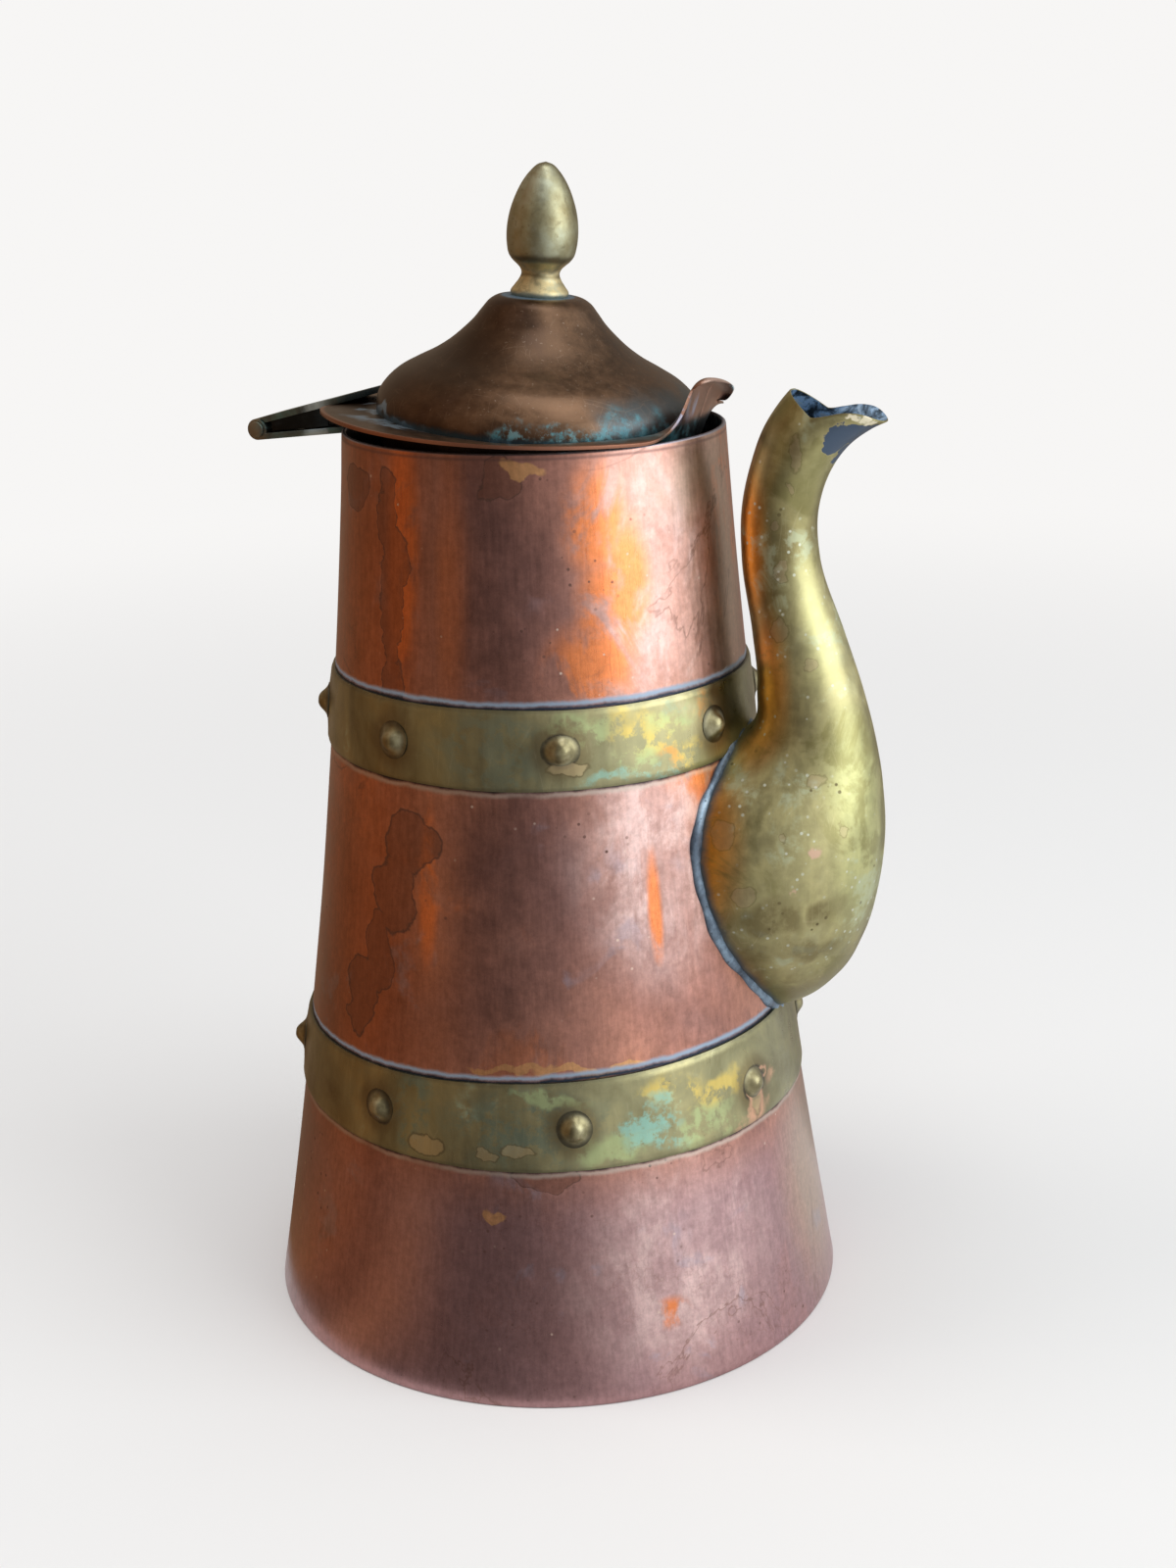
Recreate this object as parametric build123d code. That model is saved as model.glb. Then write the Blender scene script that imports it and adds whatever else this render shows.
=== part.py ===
from build123d import *
import math
import os

# A tall copper pot with two riveted brass hoops, a swan-necked brass spout and a domed lid on a
# strap hinge. +X points from the pot's axis to the spout, +Z is up, and the origin is the middle
# of the base. Every length is in millimetres and every angle in degrees.

# body: a cone that is drawn in slightly between the base and the rim
BODY_HEIGHT = 180.8
BASE_RADIUS = 60.0
RIM_RADIUS = 37.1
BODY_BOW = 2.4
BODY_WALL = 0.9
BASE_THICKNESS = 1.2
SOLDER_GAP = 0.05
SHEET_JOINT_ANGLE = 48.5

# hoops: flat brass strips bent round the body
HOOP_THICKNESS = 0.7
UPPER_HOOP_BOTTOM = 119.9
UPPER_HOOP_WIDTH = 14.9
LOWER_HOOP_BOTTOM = 47.1
LOWER_HOOP_WIDTH = 16.5
LOWER_HOOP_TAPER = 2.3

# rivets: a domed head outside, a shank through hoop and body, a flattened tail inside
RIVET_COUNT = 8
RIVET_FIRST_ANGLE = -19.0
RIVET_HEAD_RADIUS = 3.0
RIVET_HEAD_HEIGHT = 2.0
RIVET_CROWN_RADIUS = 0.4
RIVET_SHANK_RADIUS = 1.3
RIVET_TAIL_RADIUS = 2.2
RIVET_TAIL_HEIGHT = 0.7
RIVET_FIT = 0.02

# spout: each station is (back radius, back height, front radius, front height, half width),
# from the pointed foot of the bulb up to the mouth
SPOUT_STATIONS = (
    (41.0, 63.6, 46.5, 63.6, 1.4),
    (37.0, 67.2, 54.6, 67.2, 4.0),
    (31.7, 74.0, 62.3, 74.0, 10.2),
    (23.4, 82.0, 66.6, 82.0, 17.0),
    (16.4, 93.0, 69.4, 93.0, 21.0),
    (14.2, 104.0, 70.3, 104.0, 21.5),
    (20.0, 112.0, 69.8, 112.0, 18.6),
    (34.6, 118.6, 68.9, 118.6, 14.0),
    (44.2, 124.5, 67.6, 124.5, 11.4),
    (45.3, 132.0, 65.5, 132.0, 10.1),
    (44.3, 142.5, 61.9, 142.5, 8.7),
    (42.1, 157.0, 56.9, 157.0, 7.4),
    (42.1, 166.5, 56.5, 166.0, 7.2),
    (43.8, 174.6, 58.8, 173.6, 7.6),
    (46.3, 181.6, 62.6, 178.8, 7.5),
    (49.5, 186.6, 67.0, 182.0, 6.6),
    (52.9, 190.4, 71.2, 184.4, 6.2),
)
SPOUT_WALL = 1.0
SPOUT_SHALLOWEST = 0.4
MOUTH_PEAK = (51.4, 188.5)
MOUTH_NOTCH = (56.6, 184.4)
MOUTH_CREST = (62.4, 185.0)
MOUTH_TIP = (68.4, 183.3)
PORT_RADIUS = 9.0
PORT_HEIGHT = 97.0
BEAD_WIDTH = 1.7
BEAD_THICKNESS = 0.9

# lid: it sits a few degrees down towards the spout and is built in its own upright frame, whose
# origin is the middle of the circle where the dome's foot meets the brim
LID_RISE = 1.5
LID_HEIGHT = BODY_HEIGHT + LID_RISE
LID_TILT = 4.85
DOME_INSET = 4.9
DOME_FOOT_RADIUS = RIM_RADIUS - DOME_INSET
DOME_WALL = 0.8
DOME_SHOULDER = (26.9, 8.2)
DOME_SHOULDER_SLOPE = 27.0
DOME_CROWN = (11.2, 20.9)
DOME_CROWN_SLOPE = 55.0
DOME_FLAT_RADIUS = 7.4
DOME_HEIGHT = 22.8

# brim: a thin ring round the dome's foot, dished at the spout and pulled down at the hinge, with
# a thumb tongue bent up out of it on the spout side
BRIM_OVERHANG = 3.9
BRIM_RADIUS = RIM_RADIUS + BRIM_OVERHANG
BRIM_THICKNESS = 0.9
BRIM_SET = 0.45
BRIM_DISH = 2.4
BRIM_DROOP = 2.3
BRIM_DROOP_SPREAD = 25.0
BRIM_KNEE_SHARE = 0.42
BRIM_STATIONS = 18
BRIM_STATION_CROWDING = 1.6
RIM_CLEARANCE = 0.35
TONGUE_ROOT_ANGLE = 43.0
TONGUE_SIDE_ANGLE = 11.0
TONGUE_STANDOFF = 2.4
TONGUE_REACH = DOME_FOOT_RADIUS + TONGUE_STANDOFF
TONGUE_RISE = 6.8
TONGUE_HOLLOWNESS = 1.3
CURL_RADIUS = 2.5
CURL_SLOPE = 70.0
CURL_END = 5.0
CURL_OVERLAP = 1.2
CURL_HALF_WIDTH = 10.4
CURL_REACH = 5.6

# liner: a ring inside the dome's foot that drops into the mouth of the pot
LINER_WALL = 0.8
LINER_RISE = 1.5
LINER_DEPTH = 5.0

# finial: a turned bud on a collar, held by a nut under the dome
FINIAL_HEIGHT = 24.5
FINIAL_COLLAR_RADIUS = 5.5
FINIAL_COLLAR_EDGE = 0.7
FINIAL_COLLAR_SLOPE = 17.0
FINIAL_NECK_RADIUS = 3.6
FINIAL_NECK_HEIGHT = 4.2
FINIAL_BUD_SLOPE = 31.0
FINIAL_BUD_RADIUS = 6.75
FINIAL_BUD_HEIGHT = 11.0
FINIAL_SHOULDER_RADIUS = 5.4
FINIAL_SHOULDER_HEIGHT = 18.1
FINIAL_TIP_RADIUS = 0.3
STUD_RADIUS = 1.9
STUD_FIT = 0.03
STUD_SPARE = 1.2
WASHER_RADIUS = 4.6
WASHER_THICKNESS = 0.8
NUT_ACROSS_FLATS = 7.0
NUT_HEIGHT = 2.4

# hinge: two straps with rolled knuckles on one pin, out behind the rim
PIN_STANDOFF = 19.9
PIN_REACH = RIM_RADIUS + PIN_STANDOFF
PIN_DROP = 1.9
PIN_HEIGHT = BODY_HEIGHT - PIN_DROP
PIN_RADIUS = 1.0
PIN_HEAD_RADIUS = 1.6
PIN_HEAD_THICKNESS = 0.6
PIN_RUNNING_FIT = 0.05
KNUCKLE_RADIUS = 2.1
HINGE_WIDTH = 14.0
MIDDLE_KNUCKLE_WIDTH = 5.6
KNUCKLE_GAP = 0.3
STRAP_THICKNESS = 1.2
BODY_STRAP_SLOPE = 6.0
BODY_TAB_THICKNESS = 0.8
BODY_TAB_DROP = 6.0
LID_STRAP_SLOPE = 14.2
LID_STRAP_BED = 2.0


# --- curves shared by several pieces ---


def body_radius(height):
    """Outer radius of the body: a straight cone less a shallow bow."""
    share = height / BODY_HEIGHT
    straight = BASE_RADIUS + (RIM_RADIUS - BASE_RADIUS) * share
    return straight - 4 * BODY_BOW * share * (1 - share)


def body_line(offset, low, high):
    """The body's bowed side line between two heights, moved outwards by an offset."""
    middle = (low + high) / 2
    ends = (body_radius(low) + body_radius(high)) / 2
    crossing = 2 * body_radius(middle) - ends
    return Bezier((body_radius(low) + offset, low), (crossing + offset, middle),
                  (body_radius(high) + offset, high))


def turned(outline):
    """Solid of revolution about the Z axis of a closed outline in (radius, height)."""
    return revolve(Plane.XZ * Face(Wire(outline)), Axis.Z)


def smooth_step(share):
    """0 below 0 and 1 above 1, with a level start and end between them."""
    share = min(max(share, 0.0), 1.0)
    return share * share * (3 - 2 * share)


def body_cone(offset, low=0.0, high=BODY_HEIGHT):
    """Solid cone with the body's side line, moved outwards by an offset."""
    side = body_line(offset, low, high)
    foot = Line((0, low), side @ 0)
    top = Line(side @ 1, (0, high))
    cone = turned([foot, side, top, Line((0, high), (0, low))])
    return Rot(0, 0, SHEET_JOINT_ANGLE) * cone


def lid_place():
    """Where the lid's own frame lies on the pot."""
    return Pos(0, 0, LID_HEIGHT) * Rot(0, LID_TILT, 0)


# --- body, base and hoops ---


def rivet_place(height):
    """Frame on a hoop's outer face at one height, with +Z pointing out along a rivet."""
    radius = body_radius(height) + HOOP_THICKNESS
    return Pos(radius, 0, height) * Rot(0, 90 - side_lean(height), 0)


def round_the_body(piece):
    """One piece repeated at every rivet's angle."""
    step = 360 / RIVET_COUNT
    return [Rot(0, 0, RIVET_FIRST_ANGLE + step * index) * piece for index in range(RIVET_COUNT)]


def side_lean(height):
    """Angle by which the body's side leans inwards from upright at a height."""
    step = 1.0
    return math.degrees(math.atan2(body_radius(height) - body_radius(height + step), step))


def rivet_holes(height):
    """Drills for one hoop's rivets, through hoop and body."""
    reach = HOOP_THICKNESS + BODY_WALL + RIVET_HEAD_HEIGHT
    drill = Cylinder(RIVET_SHANK_RADIUS + RIVET_FIT, 2 * reach)
    return round_the_body(rivet_place(height) * drill)


def rivets(height):
    """One hoop's rivets: domed heads with a small flat, and flat tails clear of the curved bore."""
    bore_curve = RIVET_TAIL_RADIUS**2 / (2 * (body_radius(height) - BODY_WALL))
    seat = -HOOP_THICKNESS - BODY_WALL - bore_curve
    foot = seat - RIVET_TAIL_HEIGHT
    crown = (RIVET_CROWN_RADIUS, RIVET_HEAD_HEIGHT)
    corners = [(RIVET_HEAD_RADIUS, 0), (RIVET_SHANK_RADIUS, 0), (RIVET_SHANK_RADIUS, seat),
               (RIVET_TAIL_RADIUS, seat), (RIVET_TAIL_RADIUS, foot), (0, foot),
               (0, RIVET_HEAD_HEIGHT), crown]
    sides = [Line(start, end) for start, end in zip(corners, corners[1:])]
    rivet = turned([TangentArc(crown, corners[0], tangent=(1, 0))] + sides).solid()
    return Compound(children=round_the_body(rivet_place(height) * rivet))


def port():
    """Drill for the hole that lets the pot into the spout."""
    bar = Cylinder(PORT_RADIUS, BASE_RADIUS, align=(Align.CENTER, Align.CENTER, Align.MIN))
    return Pos(0, 0, PORT_HEIGHT) * Rot(0, 90, 0) * bar


def body_shell():
    """Copper body, open above and below, pierced for the spout and the rivets."""
    shell = body_cone(0) - body_cone(-BODY_WALL)
    shell -= port()
    for height in (upper_rivet_height(), lower_rivet_height()):
        for drill in rivet_holes(height):
            shell -= drill
    return shell.solid()


def base_plate():
    """Flat disc soldered inside the foot of the body, flush with its lower edge."""
    return body_cone(-BODY_WALL - SOLDER_GAP, 0, BASE_THICKNESS).solid()


def upper_rivet_height():
    """Height of the upper hoop's rivets."""
    return UPPER_HOOP_BOTTOM + UPPER_HOOP_WIDTH / 2


def lower_rivet_height():
    """Height of the lower hoop's rivets."""
    return LOWER_HOOP_BOTTOM + LOWER_HOOP_WIDTH / 2


def hoop_block(growth, bottom, width, taper):
    """Full solid up to a hoop's outer face, grown all round; its top rises towards the spout."""
    spare = BASE_RADIUS * math.tan(math.radians(taper))
    block = body_cone(HOOP_THICKNESS + growth, bottom - growth, bottom + width + spare + growth)
    above = Box(4 * BASE_RADIUS, 4 * BASE_RADIUS, BODY_HEIGHT,
                align=(Align.CENTER, Align.CENTER, Align.MIN))
    return block - Pos(0, 0, bottom + width + growth) * Rot(0, -taper, 0) * above


def upper_hoop_block(growth=0.0):
    """The upper hoop with all that it goes round."""
    return hoop_block(growth, UPPER_HOOP_BOTTOM, UPPER_HOOP_WIDTH, 0)


def lower_hoop_block(growth=0.0):
    """The lower hoop with all that it goes round."""
    return hoop_block(growth, LOWER_HOOP_BOTTOM, LOWER_HOOP_WIDTH, LOWER_HOOP_TAPER)


def upper_hoop():
    """Hoop round the body just above the spout's bulb."""
    hoop = upper_hoop_block() - body_cone(SOLDER_GAP)
    for drill in rivet_holes(upper_rivet_height()):
        hoop -= drill
    return hoop.solid()


def lower_hoop():
    """Hoop round the body just below the spout's bulb, cut wider towards the spout."""
    hoop = lower_hoop_block() - body_cone(SOLDER_GAP)
    for drill in rivet_holes(lower_rivet_height()):
        hoop -= drill
    return hoop.solid()


# --- spout ---


def slope_share(low, high):
    """Sine of the slope between two (radius, height) points, no less than a shallow limit."""
    return max((high[1] - low[1]) / math.dist(low, high), SPOUT_SHALLOWEST)


def spout_section(index, inset):
    """Elliptical section at one station, drawn in so that the wall has one thickness."""
    back_radius, back_height, front_radius, front_height, half_width = SPOUT_STATIONS[index]
    low = SPOUT_STATIONS[max(index - 1, 0)]
    high = SPOUT_STATIONS[min(index + 1, len(SPOUT_STATIONS) - 1)]
    back_inset = inset / slope_share(low[0:2], high[0:2])
    front_inset = inset / slope_share(low[2:4], high[2:4])
    lean = math.atan2(back_height - front_height, front_radius - back_radius)
    along = Vector(math.cos(lean), 0, -math.sin(lean))
    back = Vector(back_radius, 0, back_height) + along * back_inset
    front = Vector(front_radius, 0, front_height) - along * front_inset
    plane = Plane(origin=(back + front) / 2, x_dir=along,
                  z_dir=Vector(math.sin(lean), 0, math.cos(lean)))
    return plane * Ellipse((front - back).length / 2, half_width - inset)


def spout_form(inset):
    """Solid through every section, from the foot of the bulb to above the mouth."""
    sections = [spout_section(index, inset) for index in range(len(SPOUT_STATIONS))]
    return loft(sections)


def above_mouth():
    """Everything over the mouth's edge: a peak behind, a notch each side, a lip in front."""
    back = MOUTH_PEAK[0] - BASE_RADIUS
    front = MOUTH_TIP[0] + BASE_RADIUS
    top = MOUTH_PEAK[1] + BASE_RADIUS
    corners = [(back, top), (back, MOUTH_PEAK[1]), MOUTH_PEAK, MOUTH_NOTCH, MOUTH_CREST, MOUTH_TIP,
               (front, MOUTH_TIP[1]), (front, top)]
    outline = Wire.make_polygon([Vector(*corner) for corner in corners], close=True)
    return extrude(Plane.XZ * Face(outline), BASE_RADIUS, both=True)


def spout_half(align):
    """One half of the brass shell, scribed to the body and open at both ends."""
    shell = spout_form(0) - spout_form(SPOUT_WALL)
    shell -= body_cone(0)
    shell -= upper_hoop_block(SOLDER_GAP)
    shell -= lower_hoop_block(SOLDER_GAP)
    shell -= above_mouth()
    side = Box(4 * BASE_RADIUS, BASE_RADIUS, 4 * BODY_HEIGHT, align=(Align.CENTER, align, Align.CENTER))
    return max((shell & side).solids(), key=lambda piece: piece.volume)


def spout_left_half():
    """Left half of the spout, brazed to the right one along the middle."""
    return spout_half(Align.MIN)


def spout_right_half():
    """Right half of the spout."""
    return spout_half(Align.MAX)


def spout_solder():
    """Bead of solder run round the spout's root."""
    bead = spout_form(-BEAD_WIDTH) & body_cone(BEAD_THICKNESS)
    bead -= spout_form(0)
    bead -= body_cone(0)
    bead -= upper_hoop_block(SOLDER_GAP)
    bead -= lower_hoop_block(SOLDER_GAP)
    return max(bead.solids(), key=lambda piece: piece.volume)


# --- lid ---


def dome_block(wall=0.0):
    """The dome as a full solid in the lid's frame, with its skin drawn in by a wall.

    Its line in (radius, height) runs up the rolled foot, the hollow flank and the crown.
    """
    corners = [(DOME_FOOT_RADIUS, 0), DOME_SHOULDER, DOME_CROWN, (DOME_FLAT_RADIUS, DOME_HEIGHT)]
    slopes = [90, DOME_SHOULDER_SLOPE, DOME_CROWN_SLOPE, 0]
    runs = [Vector(-1, 0).rotate(Axis.Z, -slope) for slope in slopes]
    points = [Vector(*corner) + run.rotate(Axis.Z, 90) * wall for corner, run in zip(corners, runs)]
    skin = [Spline(points[index], points[index + 1], tangents=runs[index:index + 2])
            for index in range(len(points) - 1)]
    crown = Vector(0, DOME_HEIGHT - wall)
    return turned(skin + [Line(points[-1], crown), Line(crown, (0, 0)), Line((0, 0), points[0])])


def stud_hole():
    """Drill for the finial's stud in the lid's frame."""
    return Pos(0, 0, DOME_HEIGHT) * Cylinder(STUD_RADIUS + STUD_FIT, DOME_HEIGHT)


def lid_dome():
    """Copper dome: one sheet of even thickness with a hole for the finial's stud."""
    dome = dome_block() - dome_block(DOME_WALL) - stud_hole()
    return lid_place() * dome.solid()


def lid_liner():
    """Ring soldered inside the dome's foot, which guides the lid into the pot."""
    outer = DOME_FOOT_RADIUS - DOME_WALL - SOLDER_GAP
    low = -BRIM_THICKNESS - LINER_DEPTH
    up = (Align.CENTER, Align.CENTER, Align.MIN)
    height = LINER_RISE - low
    ring = Cylinder(outer, height, align=up) - Cylinder(outer - LINER_WALL, height, align=up)
    ring = Pos(0, 0, low) * ring - (dome_block() - dome_block(DOME_WALL + SOLDER_GAP))
    return lid_place() * ring.solid()


def brim_edge(angle):
    """Radius and height of the brim's upper edge at an angle from the spout side."""
    dish = ((1 + math.cos(math.radians(angle))) / 2) ** 2
    droop = math.exp(-(((180 - angle) / BRIM_DROOP_SPREAD) ** 2))
    share = (TONGUE_ROOT_ANGLE - angle) / (TONGUE_ROOT_ANGLE - TONGUE_SIDE_ANGLE)
    pull = smooth_step(share)
    lift = smooth_step(max(share, 0.0) ** TONGUE_HOLLOWNESS)
    radius = BRIM_RADIUS - (BRIM_RADIUS - TONGUE_REACH) * pull
    height = BRIM_SET + BRIM_DISH * dish - BRIM_DROOP * droop + TONGUE_RISE * lift
    return radius, height


def brim_knee(angle):
    """Radius and height of the brim's bend, which passes clear over the pot's rim."""
    edge_radius, edge_height = brim_edge(angle)
    radius = DOME_FOOT_RADIUS + (edge_radius - DOME_FOOT_RADIUS) * BRIM_KNEE_SHARE
    straight = edge_height * BRIM_KNEE_SHARE
    tilt = math.radians(LID_TILT)
    rim = RIM_RADIUS * math.cos(math.radians(angle)) * math.sin(tilt)
    rim += (BODY_HEIGHT - LID_HEIGHT) * math.cos(tilt)
    clear = rim + RIM_CLEARANCE + BRIM_THICKNESS
    blend = RIM_CLEARANCE
    return radius, (straight + clear + math.hypot(straight - clear, blend)) / 2


def downward_normal(start, end):
    """Unit normal of a rising line, on its lower side."""
    length = math.dist(start, end)
    return (end[1] - start[1]) / length, (start[0] - end[0]) / length


def mitre(point, first, second, distance):
    """A point moved so that both lines that meet there move by one distance."""
    scale = distance / (1 + first[0] * second[0] + first[1] * second[1])
    return point[0] + scale * (first[0] + second[0]), point[1] + scale * (first[1] + second[1])


def brim_section(angle):
    """Closed outline of the brim's sheet in the upright plane at one angle."""
    bore = DOME_FOOT_RADIUS - DOME_WALL + SOLDER_GAP
    upper = [(bore, 0.0), (DOME_FOOT_RADIUS, 0.0), brim_knee(angle), brim_edge(angle)]
    normals = [downward_normal(start, end) for start, end in zip(upper, upper[1:])]
    thickness = BRIM_THICKNESS
    lower = [mitre(upper[0], normals[0], normals[0], thickness),
             mitre(upper[1], normals[0], normals[1], thickness),
             mitre(upper[2], normals[1], normals[2], thickness),
             mitre(upper[3], normals[2], normals[2], thickness)]
    turn = math.radians(angle)
    ring = [Vector(r * math.cos(turn), r * math.sin(turn), z) for r, z in upper + lower[::-1]]
    return Wire.make_polygon(ring, close=True)


def brim_half():
    """One half of the brim, from the spout round to the hinge."""
    shares = [index / BRIM_STATIONS for index in range(BRIM_STATIONS + 1)]
    angles = [180 * share**BRIM_STATION_CROWDING for share in shares]
    return Solid.make_loft([brim_section(angle) for angle in angles])


def tongue_curl():
    """The tongue's end, rolled outwards and down, with rounded corners."""
    slope = math.radians(CURL_SLOPE)
    run = Vector(math.cos(slope), math.sin(slope))
    side = Vector(math.sin(slope), -math.cos(slope))
    start = Vector(*brim_edge(0))
    centre = start + side * CURL_RADIUS
    end = Vector(1, 0).rotate(Axis.Z, CURL_END)
    middle = (end - side).normalized()
    outer = CURL_RADIUS
    inner = CURL_RADIUS - BRIM_THICKNESS
    below = run * -CURL_OVERLAP
    band = [Line(start + below, start),
            ThreePointArc(start, centre + middle * outer, centre + end * outer),
            Line(centre + end * outer, centre + end * inner),
            ThreePointArc(centre + end * inner, centre + middle * inner, centre - side * inner),
            Line(centre - side * inner, centre - side * inner + below),
            Line(centre - side * inner + below, start + below)]
    roll = extrude(Plane.XZ * Face(Wire(band)), CURL_HALF_WIDTH, both=True)
    plan = Ellipse(CURL_REACH, CURL_HALF_WIDTH)
    height = DOME_HEIGHT + BRIM_THICKNESS
    return roll & Pos(start.X - CURL_OVERLAP / 2, 0, 0) * extrude(plan, height)


def brim_sheet():
    """The brim with its tongue, in the lid's frame."""
    half = brim_half()
    return half + mirror(half, Plane.XZ) + tongue_curl()


def lid_brim():
    """Copper ring under the dome with the thumb tongue."""
    return lid_place() * brim_sheet().solid()


# --- finial ---


def finial():
    """Turned brass bud with its stud, standing on the dome's flat crown."""
    collar = (FINIAL_COLLAR_RADIUS, FINIAL_COLLAR_EDGE)
    neck = (FINIAL_NECK_RADIUS, FINIAL_NECK_HEIGHT)
    bud = (FINIAL_BUD_RADIUS, FINIAL_BUD_HEIGHT)
    shoulder = (FINIAL_SHOULDER_RADIUS, FINIAL_SHOULDER_HEIGHT)
    tip = (FINIAL_TIP_RADIUS, FINIAL_HEIGHT)
    top = (0, FINIAL_HEIGHT)
    collar_run = Vector(-1, 0).rotate(Axis.Z, -FINIAL_COLLAR_SLOPE)
    bud_run = Vector(1, 0).rotate(Axis.Z, FINIAL_BUD_SLOPE)
    outline = [Line((0, 0), (FINIAL_COLLAR_RADIUS, 0)),
               Line((FINIAL_COLLAR_RADIUS, 0), collar),
               Spline(collar, neck, tangents=[collar_run, (0, 1)]),
               Spline(neck, bud, shoulder, tip, tangents=[bud_run, (-1, 0)]),
               Line(tip, top),
               Line(top, (0, 0))]
    stud_length = DOME_WALL + WASHER_THICKNESS + NUT_HEIGHT + STUD_SPARE
    stud = Cylinder(STUD_RADIUS, stud_length, align=(Align.CENTER, Align.CENTER, Align.MAX))
    return lid_place() * Pos(0, 0, DOME_HEIGHT) * (turned(outline) + stud).solid()


def finial_washer():
    """Washer under the dome's crown."""
    down = (Align.CENTER, Align.CENTER, Align.MAX)
    ring = Cylinder(WASHER_RADIUS, WASHER_THICKNESS, align=down)
    ring -= Cylinder(STUD_RADIUS + STUD_FIT, WASHER_THICKNESS, align=down)
    return lid_place() * Pos(0, 0, DOME_HEIGHT - DOME_WALL) * ring.solid()


def finial_nut():
    """Hexagonal nut that draws the finial down."""
    hexagon = RegularPolygon(NUT_ACROSS_FLATS / 2, 6, major_radius=False)
    nut = extrude(hexagon - Circle(STUD_RADIUS + STUD_FIT), -NUT_HEIGHT)
    seat = DOME_HEIGHT - DOME_WALL - WASHER_THICKNESS
    return lid_place() * Pos(0, 0, seat) * nut.solid()


# --- hinge ---


def along_pin(radius, low, high):
    """Cylinder round the pin's line between two places along it."""
    bar = Cylinder(radius, high - low, align=(Align.CENTER, Align.CENTER, Align.MIN))
    return Pos(-PIN_REACH, low, PIN_HEIGHT) * Rot(-90, 0, 0) * bar


def strap(side, slope, length):
    """Strap that leaves the barrel's top (side 1) or bottom (side -1) and rises towards the lid."""
    run = Vector(1, 0).rotate(Axis.Z, slope)
    across = Vector(0, side).rotate(Axis.Z, slope)
    start = Vector(-PIN_REACH, PIN_HEIGHT) + across * KNUCKLE_RADIUS
    corners = [start, start + run * length,
               start + run * length - across * STRAP_THICKNESS, start - across * STRAP_THICKNESS]
    blank = Face(Wire.make_polygon(corners, close=True))
    return extrude(Plane.XZ * blank, HINGE_WIDTH / 2, both=True)


def outer_knuckles(radius, gap):
    """The hinge's two outer knuckles as plain cylinders, drawn back by a gap from the middle."""
    inner = MIDDLE_KNUCKLE_WIDTH / 2 + gap
    outer = HINGE_WIDTH / 2
    return along_pin(radius, inner, outer) + along_pin(radius, -outer, -inner)


def hinge_body_leaf():
    """Strap soldered to the body by a tab, with the two outer knuckles."""
    leaf = strap(-1, BODY_STRAP_SLOPE, PIN_REACH - RIM_RADIUS + BODY_WALL)
    low = BODY_HEIGHT - BODY_WALL - BODY_TAB_DROP
    tab = body_cone(BODY_TAB_THICKNESS)
    patch = Box(BASE_RADIUS, HINGE_WIDTH, BODY_TAB_DROP, align=(Align.MAX, Align.CENTER, Align.MIN))
    leaf += (tab & Pos(0, 0, low) * patch).solid()
    leaf += outer_knuckles(KNUCKLE_RADIUS, KNUCKLE_GAP)
    middle = MIDDLE_KNUCKLE_WIDTH / 2 + KNUCKLE_GAP
    leaf -= along_pin(KNUCKLE_RADIUS + KNUCKLE_GAP, -middle, middle)
    leaf -= along_pin(PIN_RADIUS, -HINGE_WIDTH, HINGE_WIDTH)
    leaf -= body_cone(0)
    return max(leaf.solids(), key=lambda piece: piece.volume)


def hinge_lid_leaf():
    """Strap soldered over the brim to the dome, with the middle knuckle."""
    upper = strap(1, LID_STRAP_SLOPE, PIN_REACH - DOME_FOOT_RADIUS + DOME_WALL)
    bed = upper + Pos(0, 0, -LID_STRAP_BED) * upper
    edge = BRIM_RADIUS * math.cos(math.radians(LID_TILT))
    keep = Box(edge, HINGE_WIDTH, 4 * BASE_RADIUS, align=(Align.MAX, Align.CENTER, Align.CENTER))
    leaf = upper + (bed & Pos(0, 0, PIN_HEIGHT) * keep)
    leaf -= outer_knuckles(KNUCKLE_RADIUS + KNUCKLE_GAP, 0)
    half = MIDDLE_KNUCKLE_WIDTH / 2
    leaf += along_pin(KNUCKLE_RADIUS, -half, half)
    leaf -= along_pin(PIN_RADIUS + PIN_RUNNING_FIT, -HINGE_WIDTH, HINGE_WIDTH)
    leaf -= lid_place() * dome_block()
    leaf -= lid_place() * brim_sheet()
    return max(leaf.solids(), key=lambda piece: piece.volume)


def hinge_pin():
    """Pin with both ends spread against the outer knuckles."""
    half = HINGE_WIDTH / 2
    pin = along_pin(PIN_RADIUS, -half, half)
    pin += along_pin(PIN_HEAD_RADIUS, half, half + PIN_HEAD_THICKNESS)
    pin += along_pin(PIN_HEAD_RADIUS, -half - PIN_HEAD_THICKNESS, -half)
    return pin.solid()


def upper_hoop_rivets():
    """The upper hoop's rivets."""
    return rivets(upper_rivet_height())


def lower_hoop_rivets():
    """The lower hoop's rivets."""
    return rivets(lower_rivet_height())


PIECES = (body_shell, base_plate, upper_hoop, upper_hoop_rivets, lower_hoop, lower_hoop_rivets,
          spout_left_half, spout_right_half, spout_solder, lid_dome, lid_brim, lid_liner, finial,
          finial_washer, finial_nut, hinge_body_leaf, hinge_lid_leaf, hinge_pin)


def main():
    """Write one STEP file for each piece."""
    os.makedirs("parts", exist_ok=True)
    for make in PIECES:
        export_step(make(), f"parts/{make.__name__}.step")


if __name__ == "__main__":
    main()
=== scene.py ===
import math

import bmesh
import bpy
import numpy as np
from bpy.props import FloatProperty, FloatVectorProperty, PointerProperty
from mathutils import Matrix, Vector


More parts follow.
